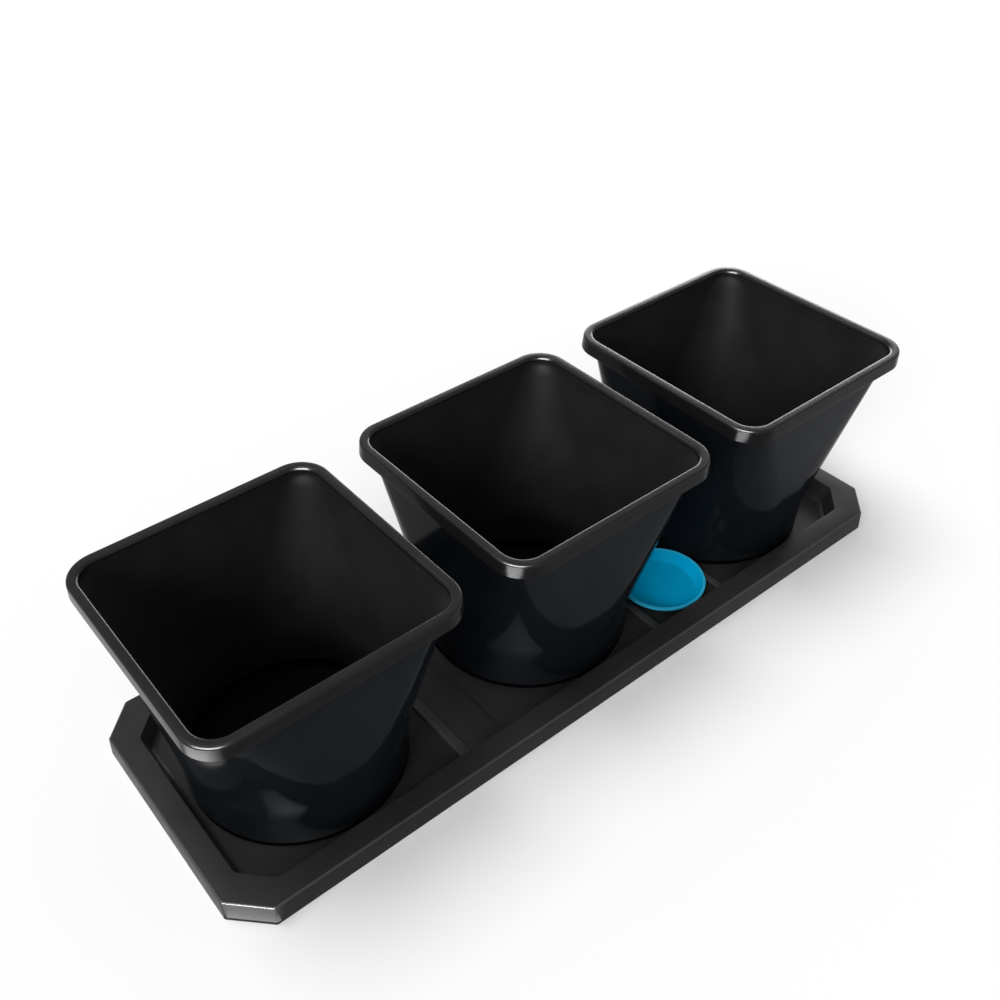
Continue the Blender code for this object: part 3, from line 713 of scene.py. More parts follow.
@dataclass
class Tray:
    """The long tray: skirt, flange, basin, floor ribs and screw bosses."""

    half_length: float = 503
    half_width: float = 167
    corner_cut: float = 38
    cut_shrink: float = 0.205
    corner_trim: float = 1.4
    trim_growth: float = 0.1
    height: float = 26.8
    wall: float = 2.5
    flange_outer: float = 2.5
    edge_trim: float = 1.8
    highlight_reach: float = 1.9
    flange_inner: float = 29.6
    basin_foot: float = 35.9
    floor_start: float = 60
    rib_reach: float = 131.5
    rib_sink: float = 1.0
    rib_slope: float = 1.2
    rib_round: float = 1.4
    rib_highlight_band: float = 1.3
    cross_rib: Span = (-203, -187)
    cross_rib_height: float = 4.5
    platform: Span = (-189, -140)
    platform_height: float = 2.5
    short_rib: Span = (105, 117)
    short_rib_start: float = 72
    short_rib_height: float = 4.0
    pot_pitch: float = 336.5
    boss_places: tuple[Span, Span] = ((154, 30), (182, 30))
    boss_radius: float = 3.8
    boss_core: float = 0.4
    boss_top: float = 5.0
    boss_round: float = 0.5
    boss_hole: float = 1.8
    hole_sink: float = 0.1
    hole_rise: float = 1

    def ring(self, inset: float, height: float) -> Ring:
        """The eight-sided outline.

        Args:
            inset: How far it is drawn in, in millimetres.
            height: Its height in millimetres.

        Returns:
            Its points in metres.
        """
        length = self.half_length - inset
        width = self.half_width - inset
        cut = self.corner_cut - inset * self.cut_shrink
        trim = self.corner_trim + self.trim_growth * inset
        plan = []
        for turn_x, turn_y in ((1, 1), (-1, 1), (-1, -1), (1, -1)):
            ends = [(length * turn_x, (width - cut) * turn_y), ((length - cut) * turn_x, width * turn_y)]
            if turn_x * turn_y < 0:
                ends.reverse()
            plan.extend((x, y, trim) for x, y in ends)
        return [Vector((p.x, p.y, height * MM)) for p in outline(plan, closed=True)]

    def profile(self) -> list[Vector]:
        """The section from the basin's floor round to the underside.

        Returns:
            Inset and height of each point.
        """
        top = self.height
        wall = self.wall
        rows = [
            (self.floor_start, wall, 0),
            (self.basin_foot, wall, 5),
            (self.flange_inner, top, 0.9),
            (self.flange_outer, top, self.edge_trim),
            (0, 0, 0.6),
            (wall, 0, 0.6),
            (self.flange_outer + wall, top - wall, 2.0),
            (self.flange_inner - wall, top - wall, 2.0),
            (self.basin_foot - wall, 0, 4.0),
            (self.floor_start, 0, 0),
        ]
        return outline(rows, steps=6)

    def on_highlit_edge(self, start: Vector, end: Vector) -> bool:
        """Whether a strip of the section lies on the round of the flange's outer edge, which is painted
        paler as wear and a painted highlight.
        """
        middle = (start + end) / 2 / MM
        return middle.x < self.flange_outer + self.highlight_reach and middle.y > self.height - self.highlight_reach

    def bar(self, x: Span, y: Span, height: float, highlit: bool = True) -> Shape:
        """A rib on the floor with rounded top edges.

        Args:
            x: Where it starts and ends along the tray.
            y: Where it starts and ends across the tray.
            height: How far it stands above the floor.
            highlit: Whether its top is painted paler like the flange's edge, as wear and a painted
                highlight.

        Returns:
            The rib's shape, sunk a little into the floor.
        """
        low = self.wall - self.rib_sink
        high = self.wall + height
        rows = [
            (x[0], low, 0),
            (x[1], low, 0),
            (x[1] - self.rib_slope, high, self.rib_round),
            (x[0] + self.rib_slope, high, self.rib_round),
        ]
        section = outline(rows, steps=4, closed=True)
        shape = skin([[Vector((p.x, end * MM, p.y)) for p in section] for end in y])
        # Faces of the top band get the paler edge finish: wear and a painted highlight.
        for face in shape.faces:
            upper = face.calc_center_median().z > (high - self.rib_highlight_band) * MM
            face.material_index = int(highlit and upper)
        return shape

    def bosses(self, piece: Piece) -> None:
        """Adds the blind bosses that take the valve's screws.

        Args:
            piece: The tray.
        """
        low = self.wall - self.rib_sink
        ends = (low, self.boss_top)
        hole_ends = (low - self.hole_sink, self.boss_top + self.hole_rise)
        tubes = []
        holes = []
        for x, y in self.boss_places:
            place = Vector((x, y, 0)) * MM
            rounds = (0, self.boss_round)
            tubes.append(laid(rod(self.boss_radius, ends, rounds, self.boss_core, ARC_STEPS, 32), place))
            holes.append(bore(self.boss_hole, hole_ends, place, sides=24))
        worked(piece, gathered(tubes), Join.ADD)
        worked(piece, gathered(holes), Join.CUT)

    def build(self) -> None:
        """Makes the tray and puts it on the base."""
        section = self.profile()
        # The round of the flange's outer edge gets the paler finish: wear and a painted highlight.
        zones = [int(self.on_highlit_edge(start, end)) for start, end in zip(section, section[1:])]
        rings = [self.ring(p.x / MM, p.y / MM) for p in section]
        piece = new_object("tray_moulding", skin(rings, zones=zones), SATIN_TRAY, WORN_EDGE_PAINTED_HIGHLIGHT)
        reach = around(0, self.rib_reach)
        worked(piece, self.bar(self.platform, reach, self.platform_height, highlit=False), Join.ADD)
        worked(piece, self.bar(self.cross_rib, reach, self.cross_rib_height), Join.ADD)
        far = (self.pot_pitch - self.short_rib[1], self.pot_pitch - self.short_rib[0])
        back = (self.short_rib_start, self.rib_reach)
        front = (-self.rib_reach, -self.short_rib_start)
        ribs = []
        for x in (self.short_rib, far):
            ribs += [self.bar(x, y, self.short_rib_height) for y in (back, front)]
        worked(piece, gathered(ribs), Join.ADD)
        self.bosses(piece)
        fitted(piece, "base", "tray")


@dataclass
class Pot:
    """One pot: square rolled rim, walls that turn round towards the foot, drained floor."""

    height: float = 258
    rim_half: float = 145.5
    rim_corner: float = 37
    rim_flare: float = 1.6
    rim_band: float = 16
    band_start: float = 0.2
    band_return: float = 1
    lip_half: float = 132.3
    lip_corner: float = 25
    lip_round: float = 5
    lip_drop: float = 4
    lip_end: float = 0.6
    crown_start: float = 0.1
    edge_round: float = 2.8
    under_start: float = 1.2
    channel_foot: float = 3.5
    neck_half: float = 135
    neck_corner: float = 40
    neck_drop: float = 1
    inner_neck_corner: float = 36.5
    inner_neck_drop: float = 18
    foot_radius: float = 124.5
    foot_width: float = 14
    foot_slope: float = 1
    round_height: float = 55
    wall: float = 2.5
    wall_start: float = 8
    painted_shade_height: float = 7
    painted_shade_seam: float = 0.1
    floor_start: float = 40
    floor_low: float = 3
    floor_top: float = 6
    floor_rise: float = 7
    base: float = 2.8
    least_flat: float = 2
    arc_steps: int = 6
    corner_steps: int = 14
    side_steps: int = 8
    slot_count: int = 8
    slot_middle: float = 72
    slot_length: float = 46
    slot_width: float = 7
    slot_round: float = 0.49
    notch_count: int = 8
    notch_inner: float = 4
    notch_outer: float = 2
    notch_width: float = 14
    notch_height: float = 2.2
    notch_edge: float = 0.4
    cut_margin: float = 1

    def ring(self, measures: Vector) -> Ring:
        """A rounded square.

        Args:
            measures: Its half width, corner radius and height.

        Returns:
            Its points.
        """
        half, corner, height = measures
        corner = min(corner, half - self.least_flat * MM)
        flat = half - corner
        points = []
        for quarter in range(4):
            start = quarter * math.pi / 2
            side = Vector((math.cos(start), math.sin(start)))
            ahead = Vector((-side.y, side.x))
            for step in range(self.side_steps):
                along = flat * (2 * step / self.side_steps - 1)
                points.append(side * half + ahead * along)
            for step in range(self.corner_steps):
                angle = start + step * math.pi / 2 / self.corner_steps
                middle = side * flat + ahead * flat
                points.append(middle + Vector((math.cos(angle), math.sin(angle))) * corner)
        return [Vector((p.x, p.y, height)) for p in points]

    def line(self, rows: list[Measures]) -> list[Vector]:
        """A rounded line from rows of half width, corner radius, height and trim, in millimetres."""
        return softened([(Vector((h, c, z)) * MM, trim * MM) for h, c, z, trim in rows], self.arc_steps)

    def disc(self, radius: float, height: float, trim: float) -> Measures:
        """A row of the section where the pot is round."""
        return (radius, radius, height, trim)

    def rim(self, inset: float, height: float, trim: float) -> Measures:
        """A row of the section at an inset from the rim's outer edge."""
        return (self.rim_half - inset, self.rim_corner - inset, height, trim)

    def lip(self, growth: float, height: float, trim: float) -> Measures:
        """A row of the section at a distance outside the rim's inner edge."""
        return (self.lip_half + growth, self.lip_corner + growth, height, trim)

    def sections(self) -> list[tuple[Finish, list[Vector]]]:
        """The pot's section, from the floor up over the rim and down to the underside.

        Returns:
            Each stretch's finish, with half width, corner radius and height of its points.
        """
        disc = self.disc
        rim = self.rim
        lip = self.lip
        top = self.height
        wall = self.wall
        foot = self.foot_radius
        inner = foot - wall
        foot_inner = foot - self.foot_width
        under = top - wall
        low = top - self.rim_band
        lip_low = top - self.lip_round
        band_top = self.edge_round + self.band_start
        band_inset = self.rim_flare * (1 - band_top / self.rim_band)
        # The floor wears painted shade, darker than the wall.
        floor = [
            disc(self.floor_start, self.floor_top, 0),
            disc(inner, self.floor_top, 6),
            disc(inner, self.floor_top + self.floor_rise, 0),
        ]
        inside = [
            disc(inner, self.floor_top + self.wall_start, 0),
            disc(inner, self.round_height, 20),
            (self.neck_half - wall, self.inner_neck_corner, top - self.inner_neck_drop, 6),
            lip(0, lip_low - self.lip_drop, 2.5),
            lip(0, lip_low - self.lip_end, 0),
        ]
        crown = [
            lip(0, lip_low - self.crown_start, 0),
            lip(0, top, self.lip_round),
            rim(self.rim_flare, top, self.edge_round),
            rim(0, low, 0),
        ]
        band = [
            rim(band_inset, top - band_top, 0),
            rim(0, low, 0.9),
            rim(self.band_return, low, 0),
        ]
        outside = [
            rim(self.under_start, low, 0),
            rim(wall, low, 0.8),
            rim(wall + self.rim_flare, under, 2.0),
            lip(wall, under, 2.0),
            lip(wall, low + self.channel_foot, 1.5),
            (self.neck_half, self.neck_corner, low - self.neck_drop, 2.0),
            disc(foot, self.round_height, 20),
            disc(foot, self.painted_shade_height + self.painted_shade_seam, 0),
        ]
        # The foot's lowest strip and the underside wear painted shade: a dark contact line round the foot.
        underside = [
            disc(foot, self.painted_shade_height, 0),
            disc(foot, 0, 2.4),
            disc(foot_inner, 0, 1.2),
            disc(foot_inner - self.foot_slope, self.floor_low, 1.2),
            disc(self.floor_start, self.floor_low, 0),
        ]
        return [
            (PAINTED_SHADE_FLOOR, self.line(floor)),
            (SATIN_POT, self.line(inside)),
            (WORN_CROWN, self.line(crown)[:-1]),
            (BUFFED_BAND, self.line(band)),
            (POLISHED_POT, self.line(outside)),
            (PAINTED_SHADE_FLOOR, self.line(underside)),
        ]

    def drains(self) -> Shape:
        """Radial slots through the floor and water gaps under the foot.

        Returns:
            All of them as one shape, to be cut out.
        """
        margin = self.cut_margin
        notch_start = self.foot_radius - self.foot_width - self.notch_inner
        slot = (
            around(self.slot_middle, self.slot_length / 2),
            around(0, self.slot_width / 2),
            (self.floor_low - margin, self.floor_top + margin),
            self.slot_width * self.slot_round,
        )
        notch = (
            (notch_start, self.foot_radius + self.notch_outer),
            around(0, self.notch_width / 2),
            (-margin, self.notch_height),
            self.notch_edge,
        )
        shapes = []
        for sizes, count, offset in ((slot, self.slot_count, 0), (notch, self.notch_count, 0.5)):
            for index in range(count):
                shape = block(*sizes)
                shape.transform(Matrix.Rotation(math.tau * (index + offset) / count, 4, "Z"))
                shapes.append(shape)
        return gathered(shapes)

    def build(self, number: int, body: str) -> None:
        """Makes one pot around its CAD node.

        Args:
            number: Which pot of the row it is.
            body: The body that it moves with.
        """
        finishes = (POLISHED_POT, SATIN_POT, WORN_CROWN, BUFFED_BAND, PAINTED_SHADE_FLOOR)
        rings = []
        zones = []
        for finish, section in self.sections():
            rings += [self.ring(measures) for measures in section]
            zones += [finishes.index(finish)] * len(section)
        piece = new_object(f"pot_{number}_moulding", skin(rings, zones=zones), *finishes)
        worked(piece, self.drains(), Join.CUT)
        piece.data.transform(Matrix.Translation(middle_of(f"pot_{number}", self.base)))
        fitted(piece, body, f"pot_{number}", sharp=50)


@dataclass
class RootScreen:
    """A loose felt disc on a pot's floor, a little uneven."""

    radius: float = 114
    bottom: float = 9.1
    thickness: float = 2.0
    edge: float = 0.7
    swell: float = 0.22
    ripple_count: int = 5
    ripple_rate: float = 60
    ring_gap: float = 9.0
    steps: int = 96

    def build(self, number: int, body: str) -> None:
        """Makes one disc around its CAD node.

        Args:
            number: Which pot it lies in.
            body: The body that it moves with.
        """
        top = self.bottom + self.thickness
        radii = [self.ring_gap * step for step in range(1, int(self.radius / self.ring_gap))]
        rows = [(radius, top, 0) for radius in radii]
        rows += [(self.radius, height, self.edge) for height in (top, self.bottom)]
        rows.append((self.ring_gap, self.bottom, 0))
        shape = turned(outline(rows, steps=4), self.steps)
        for point in shape.verts:
            if point.co.z > (self.bottom + self.thickness / 2) * MM:
                turn = math.atan2(point.co.y, point.co.x)
                across = math.sin(point.co.length * self.ripple_rate + number)
                ripple = math.sin(self.ripple_count * turn + number) * across
                point.co.z -= self.swell * MM * (1 + ripple)
        node = f"root_screen_{number}"
        piece = new_object(f"{node}_felt", laid(shape, middle_of(node, 0)), FELT)
        fitted(piece, body, node, sharp=60)


@dataclass(frozen=True)
class PanScrew:
    """A pan-head screw with a cross recess; shares are of the head's radius or height."""

    shank: float
    tip: float
    head: float
    seat: float
    tall: float
    core: float = 0.3
    side_share: float = 0.55
    dome_share: float = 0.55
    recess_reach: float = 0.52
    recess_half: float = 0.11
    recess_depth: float = 0.55
    cut_margin: float = 1

    def build(self, node: str, body: str, place: Vector) -> None:
        """Makes one screw.

        Args:
            node: The CAD node that it stands for.
            body: The body that it moves with.
            place: Where its axis stands.
        """
        top = self.seat + self.tall
        rows = [
            (self.core, self.tip, 0),
            (self.shank, self.tip, 0.3),
            (self.shank, self.seat, 0),
            (self.head, self.seat, 0.15),
            (self.head, self.seat + self.tall * self.side_share, self.tall * 0.4),
            (self.head * self.dome_share, top, self.tall * 0.35),
            (self.core, top, 0),
        ]
        shape = turned(outline(rows, steps=4), steps=40)
        piece = new_object(f"{node}_pan_head", laid(shape, place), STEEL)
        reach = self.head * self.recess_reach
        half = self.head * self.recess_half
        depth = (top - self.tall * self.recess_depth, top + self.cut_margin)
        for x, y in ((reach, half), (half, reach)):
            mark = block(around(0, x), around(0, y), depth, edge=half / 2)
            worked(piece, laid(mark, place), Join.CUT)
        fitted(piece, body, node)


@dataclass
class ValvePart:
    """What the pieces of the float valve share: its place, plate, inlet, pivot and seal."""

    middle: float = 168
    floor: float = 2.8
    plate: float = 2.5
    plate_half: float = 20
    plate_y: Span = (-8, 38)
    cheek_y: Span = (-4, 8)
    boss_y: Span = (22, 42)
    screw_x: float = 14
    screw_y: float = 30
    pivot_y: float = 2
    pivot_z: float = 21
    pin_radius: float = 1.5
    seal_y: float = 16
    gap: float = 0.3
    cut_margin: float = 1

    def at(self, x: float, y: float, z: float = 0) -> Vector:
        """A place by its distances from the valve's middle line."""
        return Vector((self.middle + x, y, z)) * MM

    def slab(self, x: Span, y: Span, z: Span, edge: float, top_edge: float = 0.0) -> Shape:
        """A rounded box about the valve's middle line."""
        return block((self.middle + x[0], self.middle + x[1]), y, z, edge, top_edge)


@dataclass
class ValveBase(ValvePart):
    """The valve's body on the tray's floor, with nozzle, hose tail, ring, strainer, pin and screws."""

    weld: float = 1
    cheek_x: Span = (8, 12)
    cheek_top: float = 26
    tower_half: float = 7
    tower_y: Span = (9.5, 23)
    tower_top: float = 12.7
    boss_top: float = 15
    screw_hole: float = 4.4
    inlet_z: float = 9.5
    inlet_bore: float = 3.5
    inlet_end: float = 24
    nozzle_bore: float = 1
    nozzle_mouth: float = 2
    nozzle_shank: float = 2.4
    nozzle_flange: float = 4.5
    nozzle_flange_tall: float = 1.2
    nozzle_z: Span = (10.6, 15.5)
    tail_bore: float = 1.8
    tail_start: float = 31
    spigot: float = 3.1
    collar: float = 6
    collar_y: Span = (44.4, 46.8)
    pipe: float = 3.4
    barb: float = 4.3
    barb_count: int = 3
    barb_start: float = 48.8
    barb_pitch: float = 6
    barb_rise: float = 0.4
    barb_length: float = 4.5
    ring_middle: float = 4.7
    ring_half: float = 0.9
    ring_steps: int = 16
    pin_half: float = 13
    pin_core: float = 0.3
    screw_shank: float = 1.4
    screw_tip: float = 1.9
    screw_head: float = 5.4
    screw_tall: float = 2.0

    def build_body(self) -> None:
        """The base plate with its cheeks, nozzle tower and inlet boss."""
        top = self.floor + self.plate
        low = top - self.weld
        half = self.plate_half
        plate = self.slab(around(0, half), self.plate_y, (self.floor, top), edge=3, top_edge=0.6)
        piece = new_object("valve_body_moulding", plate, GREY_ACETAL)
        tower_x = around(0, self.tower_half)
        left_x = (-self.cheek_x[1], -self.cheek_x[0])
        for x, y, high, edge, top_edge in (
            (tower_x, self.tower_y, self.tower_top, 2, 0.6),
            (tower_x, self.boss_y, self.boss_top, 1.2, 1.2),
            (left_x, self.cheek_y, self.cheek_top, 1.0, 1.0),
            (self.cheek_x, self.cheek_y, self.cheek_top, 1.0, 1.0),
        ):
            worked(piece, self.slab(x, y, (low, high), edge, top_edge), Join.ADD)
        pivot = self.at(0, self.pivot_y, self.pivot_z)
        inlet = self.at(0, 0, self.inlet_z)
        inlet_y = (self.inlet_end, self.boss_y[1] + self.cut_margin)
        bores = [
            bore(self.pin_radius + self.gap, around(0, half), pivot, Axis.X),
            bore(self.inlet_bore, inlet_y, inlet, Axis.Y),
        ]
        for side in (-1, 1):
            place = self.at(side * self.screw_x, self.screw_y)
            bores.append(bore(self.screw_hole, (0, top + self.cut_margin), place))
        worked(piece, gathered(bores), Join.CUT)
        fitted(piece, "base", "valve_body")

    def build_nozzle(self) -> None:
        """The insert that the seal closes."""
        low, tip = self.nozzle_z
        seat = self.tower_top + self.gap
        flange_top = seat + self.nozzle_flange_tall
        rows = [
            (self.nozzle_bore, tip, 0.2),
            (self.nozzle_mouth, tip, 0.4),
            (self.nozzle_shank, flange_top, 0.3),
            (self.nozzle_flange, flange_top, 0.3),
            (self.nozzle_flange, seat, 0.2),
            (self.nozzle_shank, seat, 0),
            (self.nozzle_shank, low, 0.2),
            (self.nozzle_bore, low, 0.2),
        ]
        shape = turned(outline(rows, steps=4, closed=True), loop=True)
        piece = new_object("nozzle_insert", laid(shape, self.at(0, self.seal_y)), WHITE_ACETAL)
        fitted(piece, "base", "nozzle")

    def build_inlet(self) -> None:
        """The barbed hose tail, its ring and the strainer's finish."""
        inlet = self.at(0, 0, self.inlet_z)
        rows = [
            (self.tail_bore, self.tail_start, 0),
            (self.spigot, self.tail_start, 0.3),
            (self.spigot, self.collar_y[0], 0),
            (self.collar, self.collar_y[0], 0.5),
            (self.collar, self.collar_y[1], 0.5),
            (self.pipe, self.collar_y[1], 0.4),
        ]
        for index in range(self.barb_count):
            start = self.barb_start + self.barb_pitch * index
            rows += [
                (self.pipe, start, 0.2),
                (self.barb, start + self.barb_rise, 0.25),
                (self.pipe, start + self.barb_length, 0.3),
            ]
        rows.append((self.tail_bore, rows[-1][1], 0.2))
        shape = turned(outline(rows, steps=3, closed=True), loop=True)
        piece = new_object("hose_tail_barbed", laid(shape, inlet, Axis.Y), GREY_ACETAL)
        fitted(piece, "base", "hose_tail")

        ring_y = (self.boss_y[1] + self.collar_y[0]) / 2
        wire_ring = circle(self.ring_half, 0, self.ring_steps)
        section = [Vector((self.ring_middle + p.x, ring_y + p.y)) * MM for p in wire_ring]
        piece = new_object("hose_tail_ring", laid(turned(section, loop=True), inlet, Axis.Y), NITRILE)
        fitted(piece, "base", "hose_tail_o_ring")

        strainer = bpy.data.objects["inlet_strainer"]
        strainer.data.materials.clear()
        strainer.data.materials.append(material_of(WHITE_ACETAL))
        LOG.info("inlet_strainer: CAD node kept, new finish")

    def build_fasteners(self) -> None:
        """The rocker's pin and the two screws that hold the body."""
        ends = around(0, self.pin_half)
        shape = rod(self.pin_radius, ends, (0.4, 0.4), self.pin_core, arcs=3, sides=32)
        pivot = self.at(0, self.pivot_y, self.pivot_z)
        piece = new_object("pivot_pin_wire", laid(shape, pivot, Axis.X), STEEL)
        fitted(piece, "base", "pivot_pin")

        seat = self.floor + self.plate + self.gap
        screw = PanScrew(self.screw_shank, self.screw_tip, self.screw_head, seat, self.screw_tall)
        for number, side in enumerate((-1, 1), 1):
            screw.build(f"valve_screw_{number}", "base", self.at(side * self.screw_x, self.screw_y))

    def build(self) -> None:
        """Makes every fixed piece of the valve."""
        self.build_body()
        self.build_nozzle()
        self.build_inlet()
        self.build_fasteners()


@dataclass
class ValveCover(ValvePart):
    """The loose cap over the valve, notched for the rocker and the inlet."""

    wall: float = 1.6
    room: float = 0.5
    inner_top: float = 27.4
    arm_notch: float = 9.6
    arm_notch_top: float = 24.5
    inlet_notch: float = 7.6
    inlet_notch_top: float = 15.8
    edge: float = 0.3

    def build(self) -> None:
        """Makes the cap and puts it on its own body."""
        grow = self.room + self.wall
        half = self.plate_half + grow
        y = (self.plate_y[0] - grow, self.plate_y[1] + grow)
        top = self.inner_top + self.wall
        shell = self.slab(around(0, half), y, (self.floor, top), edge=4, top_edge=2.6)
        piece = new_object("valve_cover_cap", shell, SATIN_TRAY)
        inner_y = (y[0] + self.wall, y[1] - self.wall)
        hollow = (around(0, half - self.wall), inner_y, (0, self.inner_top))
        worked(piece, self.slab(*hollow, edge=2.6, top_edge=1.2), Join.CUT)
        arm_y = (y[0] - self.cut_margin, self.cheek_y[0])
        inlet_y = (self.screw_y, y[1] + self.cut_margin)
        for reach, notch_y, high in (
            (self.arm_notch, arm_y, self.arm_notch_top),
            (self.inlet_notch, inlet_y, self.inlet_notch_top),
        ):
            worked(piece, self.slab(around(0, reach), notch_y, (0, high), edge=0.3), Join.CUT)
        broken_edges(piece, self.edge)
        fitted(piece, "cover", "valve_cover")


@dataclass
class FloatRocker(ValvePart):
    """The rocker with its seal, the blue dish that floats and the two screws that hold it.

    A slab's sizes are its reach along X, Y and Z, the trim of its upright edges and its top's round.
    """

    beam: Slab = ((-7.4, 7.4), (-8, 23), (19, 23), 2.0, 0.8)
    web: Slab = ((-6.4, 6.4), (-7.5, -4.5), (14.5, 22), 0.5, 0.0)
    ledge: Slab = ((-7.4, 7.4), (-18, -4), (13.5, 17.5), 1.5, 0.6)
    lug: Slab = ((-8, 8), (-26.4, -6), (9.6, 13.2), 2.5, 0.5)
    pin_play: float = 0.15
    pocket: float = 4.3
    pocket_z: Span = (18, 20.2)
    pad: float = 4
    pad_core: float = 0.4
    pad_z: Span = (17.5, 19.9)
    screw_hole: float = 1.4
    ledge_hole_z: Span = (13, 18)
    lug_hole_z: Span = (10.9, 14)
    dish_y: float = -75.5
    dish_radius: float = 56.5
    dish_lip: float = 17.8
    dish_floor: float = 5.4
    dish_foot: float = 42
    dish_wall: float = 1.8
    dish_core: float = 8
    lip_width: float = 3.6
    lip_tall: float = 3.8
    dish_sides: int = 112
    dish_screw_x: float = 4.5
    dish_screw_y: float = -13
    dish_screw: PanScrew = PanScrew(shank=1.1, tip=11.2, head=2.1, seat=17.8, tall=1.6)

    def build_arm(self, places: list[Vector]) -> None:
        """The rocker and the seal pad in its rear end.

        Args:
            places: Where the two screws go into the rocker's ledge.
        """
        arm = new_object("float_arm_rocker", self.slab(*self.beam), GREY_ACETAL)
        for sizes in (self.web, self.ledge):
            worked(arm, self.slab(*sizes), Join.ADD)
        pivot = self.at(0, self.pivot_y, self.pivot_z)
        seal = self.at(0, self.seal_y)
        bores = [
            bore(self.pin_radius + self.pin_play, around(0, self.plate_half), pivot, Axis.X),
            bore(self.pocket, self.pocket_z, seal),
        ]
        bores += [bore(self.screw_hole, self.ledge_hole_z, place) for place in places]
        worked(arm, gathered(bores), Join.CUT)
        fitted(arm, "float", "float_arm")

        shape = rod(self.pad, self.pad_z, (0.5, 0.3), self.pad_core, arcs=4, sides=40)
        piece = new_object("seal_pad_disc", laid(shape, seal), RED_SILICONE)
        fitted(piece, "float", "seal_pad")

    def build_dish(self, places: list[Vector]) -> None:
        """The open dish with its lug.

        Args:
            places: Where the two screws go through the lug.
        """
        lip = self.dish_lip
        floor = self.dish_floor
        wall = self.dish_wall
        rim = self.dish_radius
        neck = rim - self.lip_width
        rows = [
            (self.dish_core, floor, 0),
            (self.dish_foot, floor, 2.2),
            (neck, lip, 1.2),
            (rim, lip, 0.9),
            (rim, lip - self.lip_tall, 0.7),
            (neck, lip - self.lip_tall, 0.5),
            (self.dish_foot, floor - wall, 4.5),
            (self.dish_core, floor - wall, 0),
        ]
        section = outline(rows, steps=8)
        # The wall's zone is painted a paler blue than the floor: painted light.
        zones = []
        for start, end in zip(section, section[1:]):
            middle = (start + end) / 2 / MM
            zones.append(int(middle.y > floor + wall) + int(middle.x > neck))
        bowl = laid(turned(section, self.dish_sides, zones=zones), self.at(0, self.dish_y))
        piece = new_object("float_dish_bowl", bowl, BLUE_DISH, BLUE_WALL_PAINTED_LIGHT, PALE_LIP)
        worked(piece, self.slab(*self.lug), Join.ADD)
        holes = [bore(self.screw_hole, self.lug_hole_z, place) for place in places]
        worked(piece, gathered(holes), Join.CUT)
        fitted(piece, "float", "float_dish")

    def build(self) -> None:
        """Makes every piece that rocks with the float."""
        places = [self.at(side * self.dish_screw_x, self.dish_screw_y) for side in (-1, 1)]
        self.build_arm(places)
        self.build_dish(places)
        for number, place in enumerate(places, 1):
            self.dish_screw.build(f"float_screw_{number}", "float", place)


def toward(azimuth: float, elevation: float) -> Vector:
    """A direction.

    Args:
        azimuth: Degrees round from the front, which is -Y.
        elevation: Degrees above the floor.

    Returns:
        The unit vector.
    """
    turn = math.radians(azimuth)
    rise = math.radians(elevation)
    level = math.cos(rise)
    return Vector((math.sin(turn) * level, -math.cos(turn) * level, math.sin(rise)))


@dataclass(frozen=True)
class PhotoCamera:
    """The camera of the photograph, found from the tray's outline and the rims."""

    place: Row = (-0.5903, -0.6280, 0.8957)
    azimuth: float = -37.459
    elevation: float = 46.944
    roll: float = -1.257
    focal_mm: float = 35.09
    sensor_mm: float = 36.0
    shift: Span = (0.0442, 0.1272)
    clip_start: float = 0.01

    def build(self) -> None:
        """Adds the camera and makes it the scene's own."""
        roll = math.radians(self.roll)
        back = toward(self.azimuth, self.elevation)
        flat_right = toward(self.azimuth + 90, 0)
        flat_up = back.cross(flat_right)
        right = flat_right * math.cos(roll) + flat_up * math.sin(roll)
        up = flat_up * math.cos(roll) - flat_right * math.sin(roll)
        lens = bpy.data.cameras.new("photo_camera")
        lens.lens = self.focal_mm
        lens.sensor_width = self.sensor_mm
        lens.sensor_fit = "HORIZONTAL"
        lens.shift_x, lens.shift_y = self.shift
        lens.clip_start = self.clip_start
        camera = bpy.data.objects.new("photo_camera", lens)
        turn = Matrix((right, up, back)).transposed().to_4x4()
        camera.matrix_world = Matrix.Translation(Vector(self.place)) @ turn
        bpy.context.scene.collection.objects.link(camera)
        bpy.context.scene.camera = camera


def panel(name: str, size: Span, brightness: float, pieces: tuple[str, ...]) -> Piece:
    """A flat lamp that shows only as a reflection.

    Args:
        name: What the lamp is called.
        size: Its width and height in metres.
        brightness: How bright its face is, where the white surround is 1.
        pieces: The pieces that it shows on.

    Returns:
        The lamp, still to be placed.
    """
    lamp = bpy.data.lights.new(name, "AREA")
    lamp.shape = "RECTANGLE"
    lamp.size, lamp.size_y = size
    lamp.energy = brightness * math.pi * size[0] * size[1]
    holder = bpy.data.objects.new(name, lamp)
    holder.visible_camera = False
    holder.visible_diffuse = False
    bpy.context.scene.collection.objects.link(holder)
    lit = bpy.data.collections.new(f"{name}_lit")
    for piece in pieces:
        lit.objects.link(bpy.data.objects[piece])
    holder.light_linking.receiver_collection = lit
    return holder


@dataclass(frozen=True)
class GleamPanel:
    """A standing panel whose reflection draws the lines of light along the rims."""

    name: str
    azimuth: float
    elevation: float
    distance: float
    size: Span
    brightness: float
    pieces: tuple[str, ...] = ("tray_moulding", "pot_1_moulding", "pot_2_moulding", "pot_3_moulding")

    def build(self) -> None:
        """Adds the lamp, facing the tray."""
        away = toward(self.azimuth, self.elevation)
        holder = panel(self.name, self.size, self.brightness, self.pieces)
        holder.location = away * self.distance
        holder.rotation_euler = away.to_track_quat("Z", "Y").to_euler()


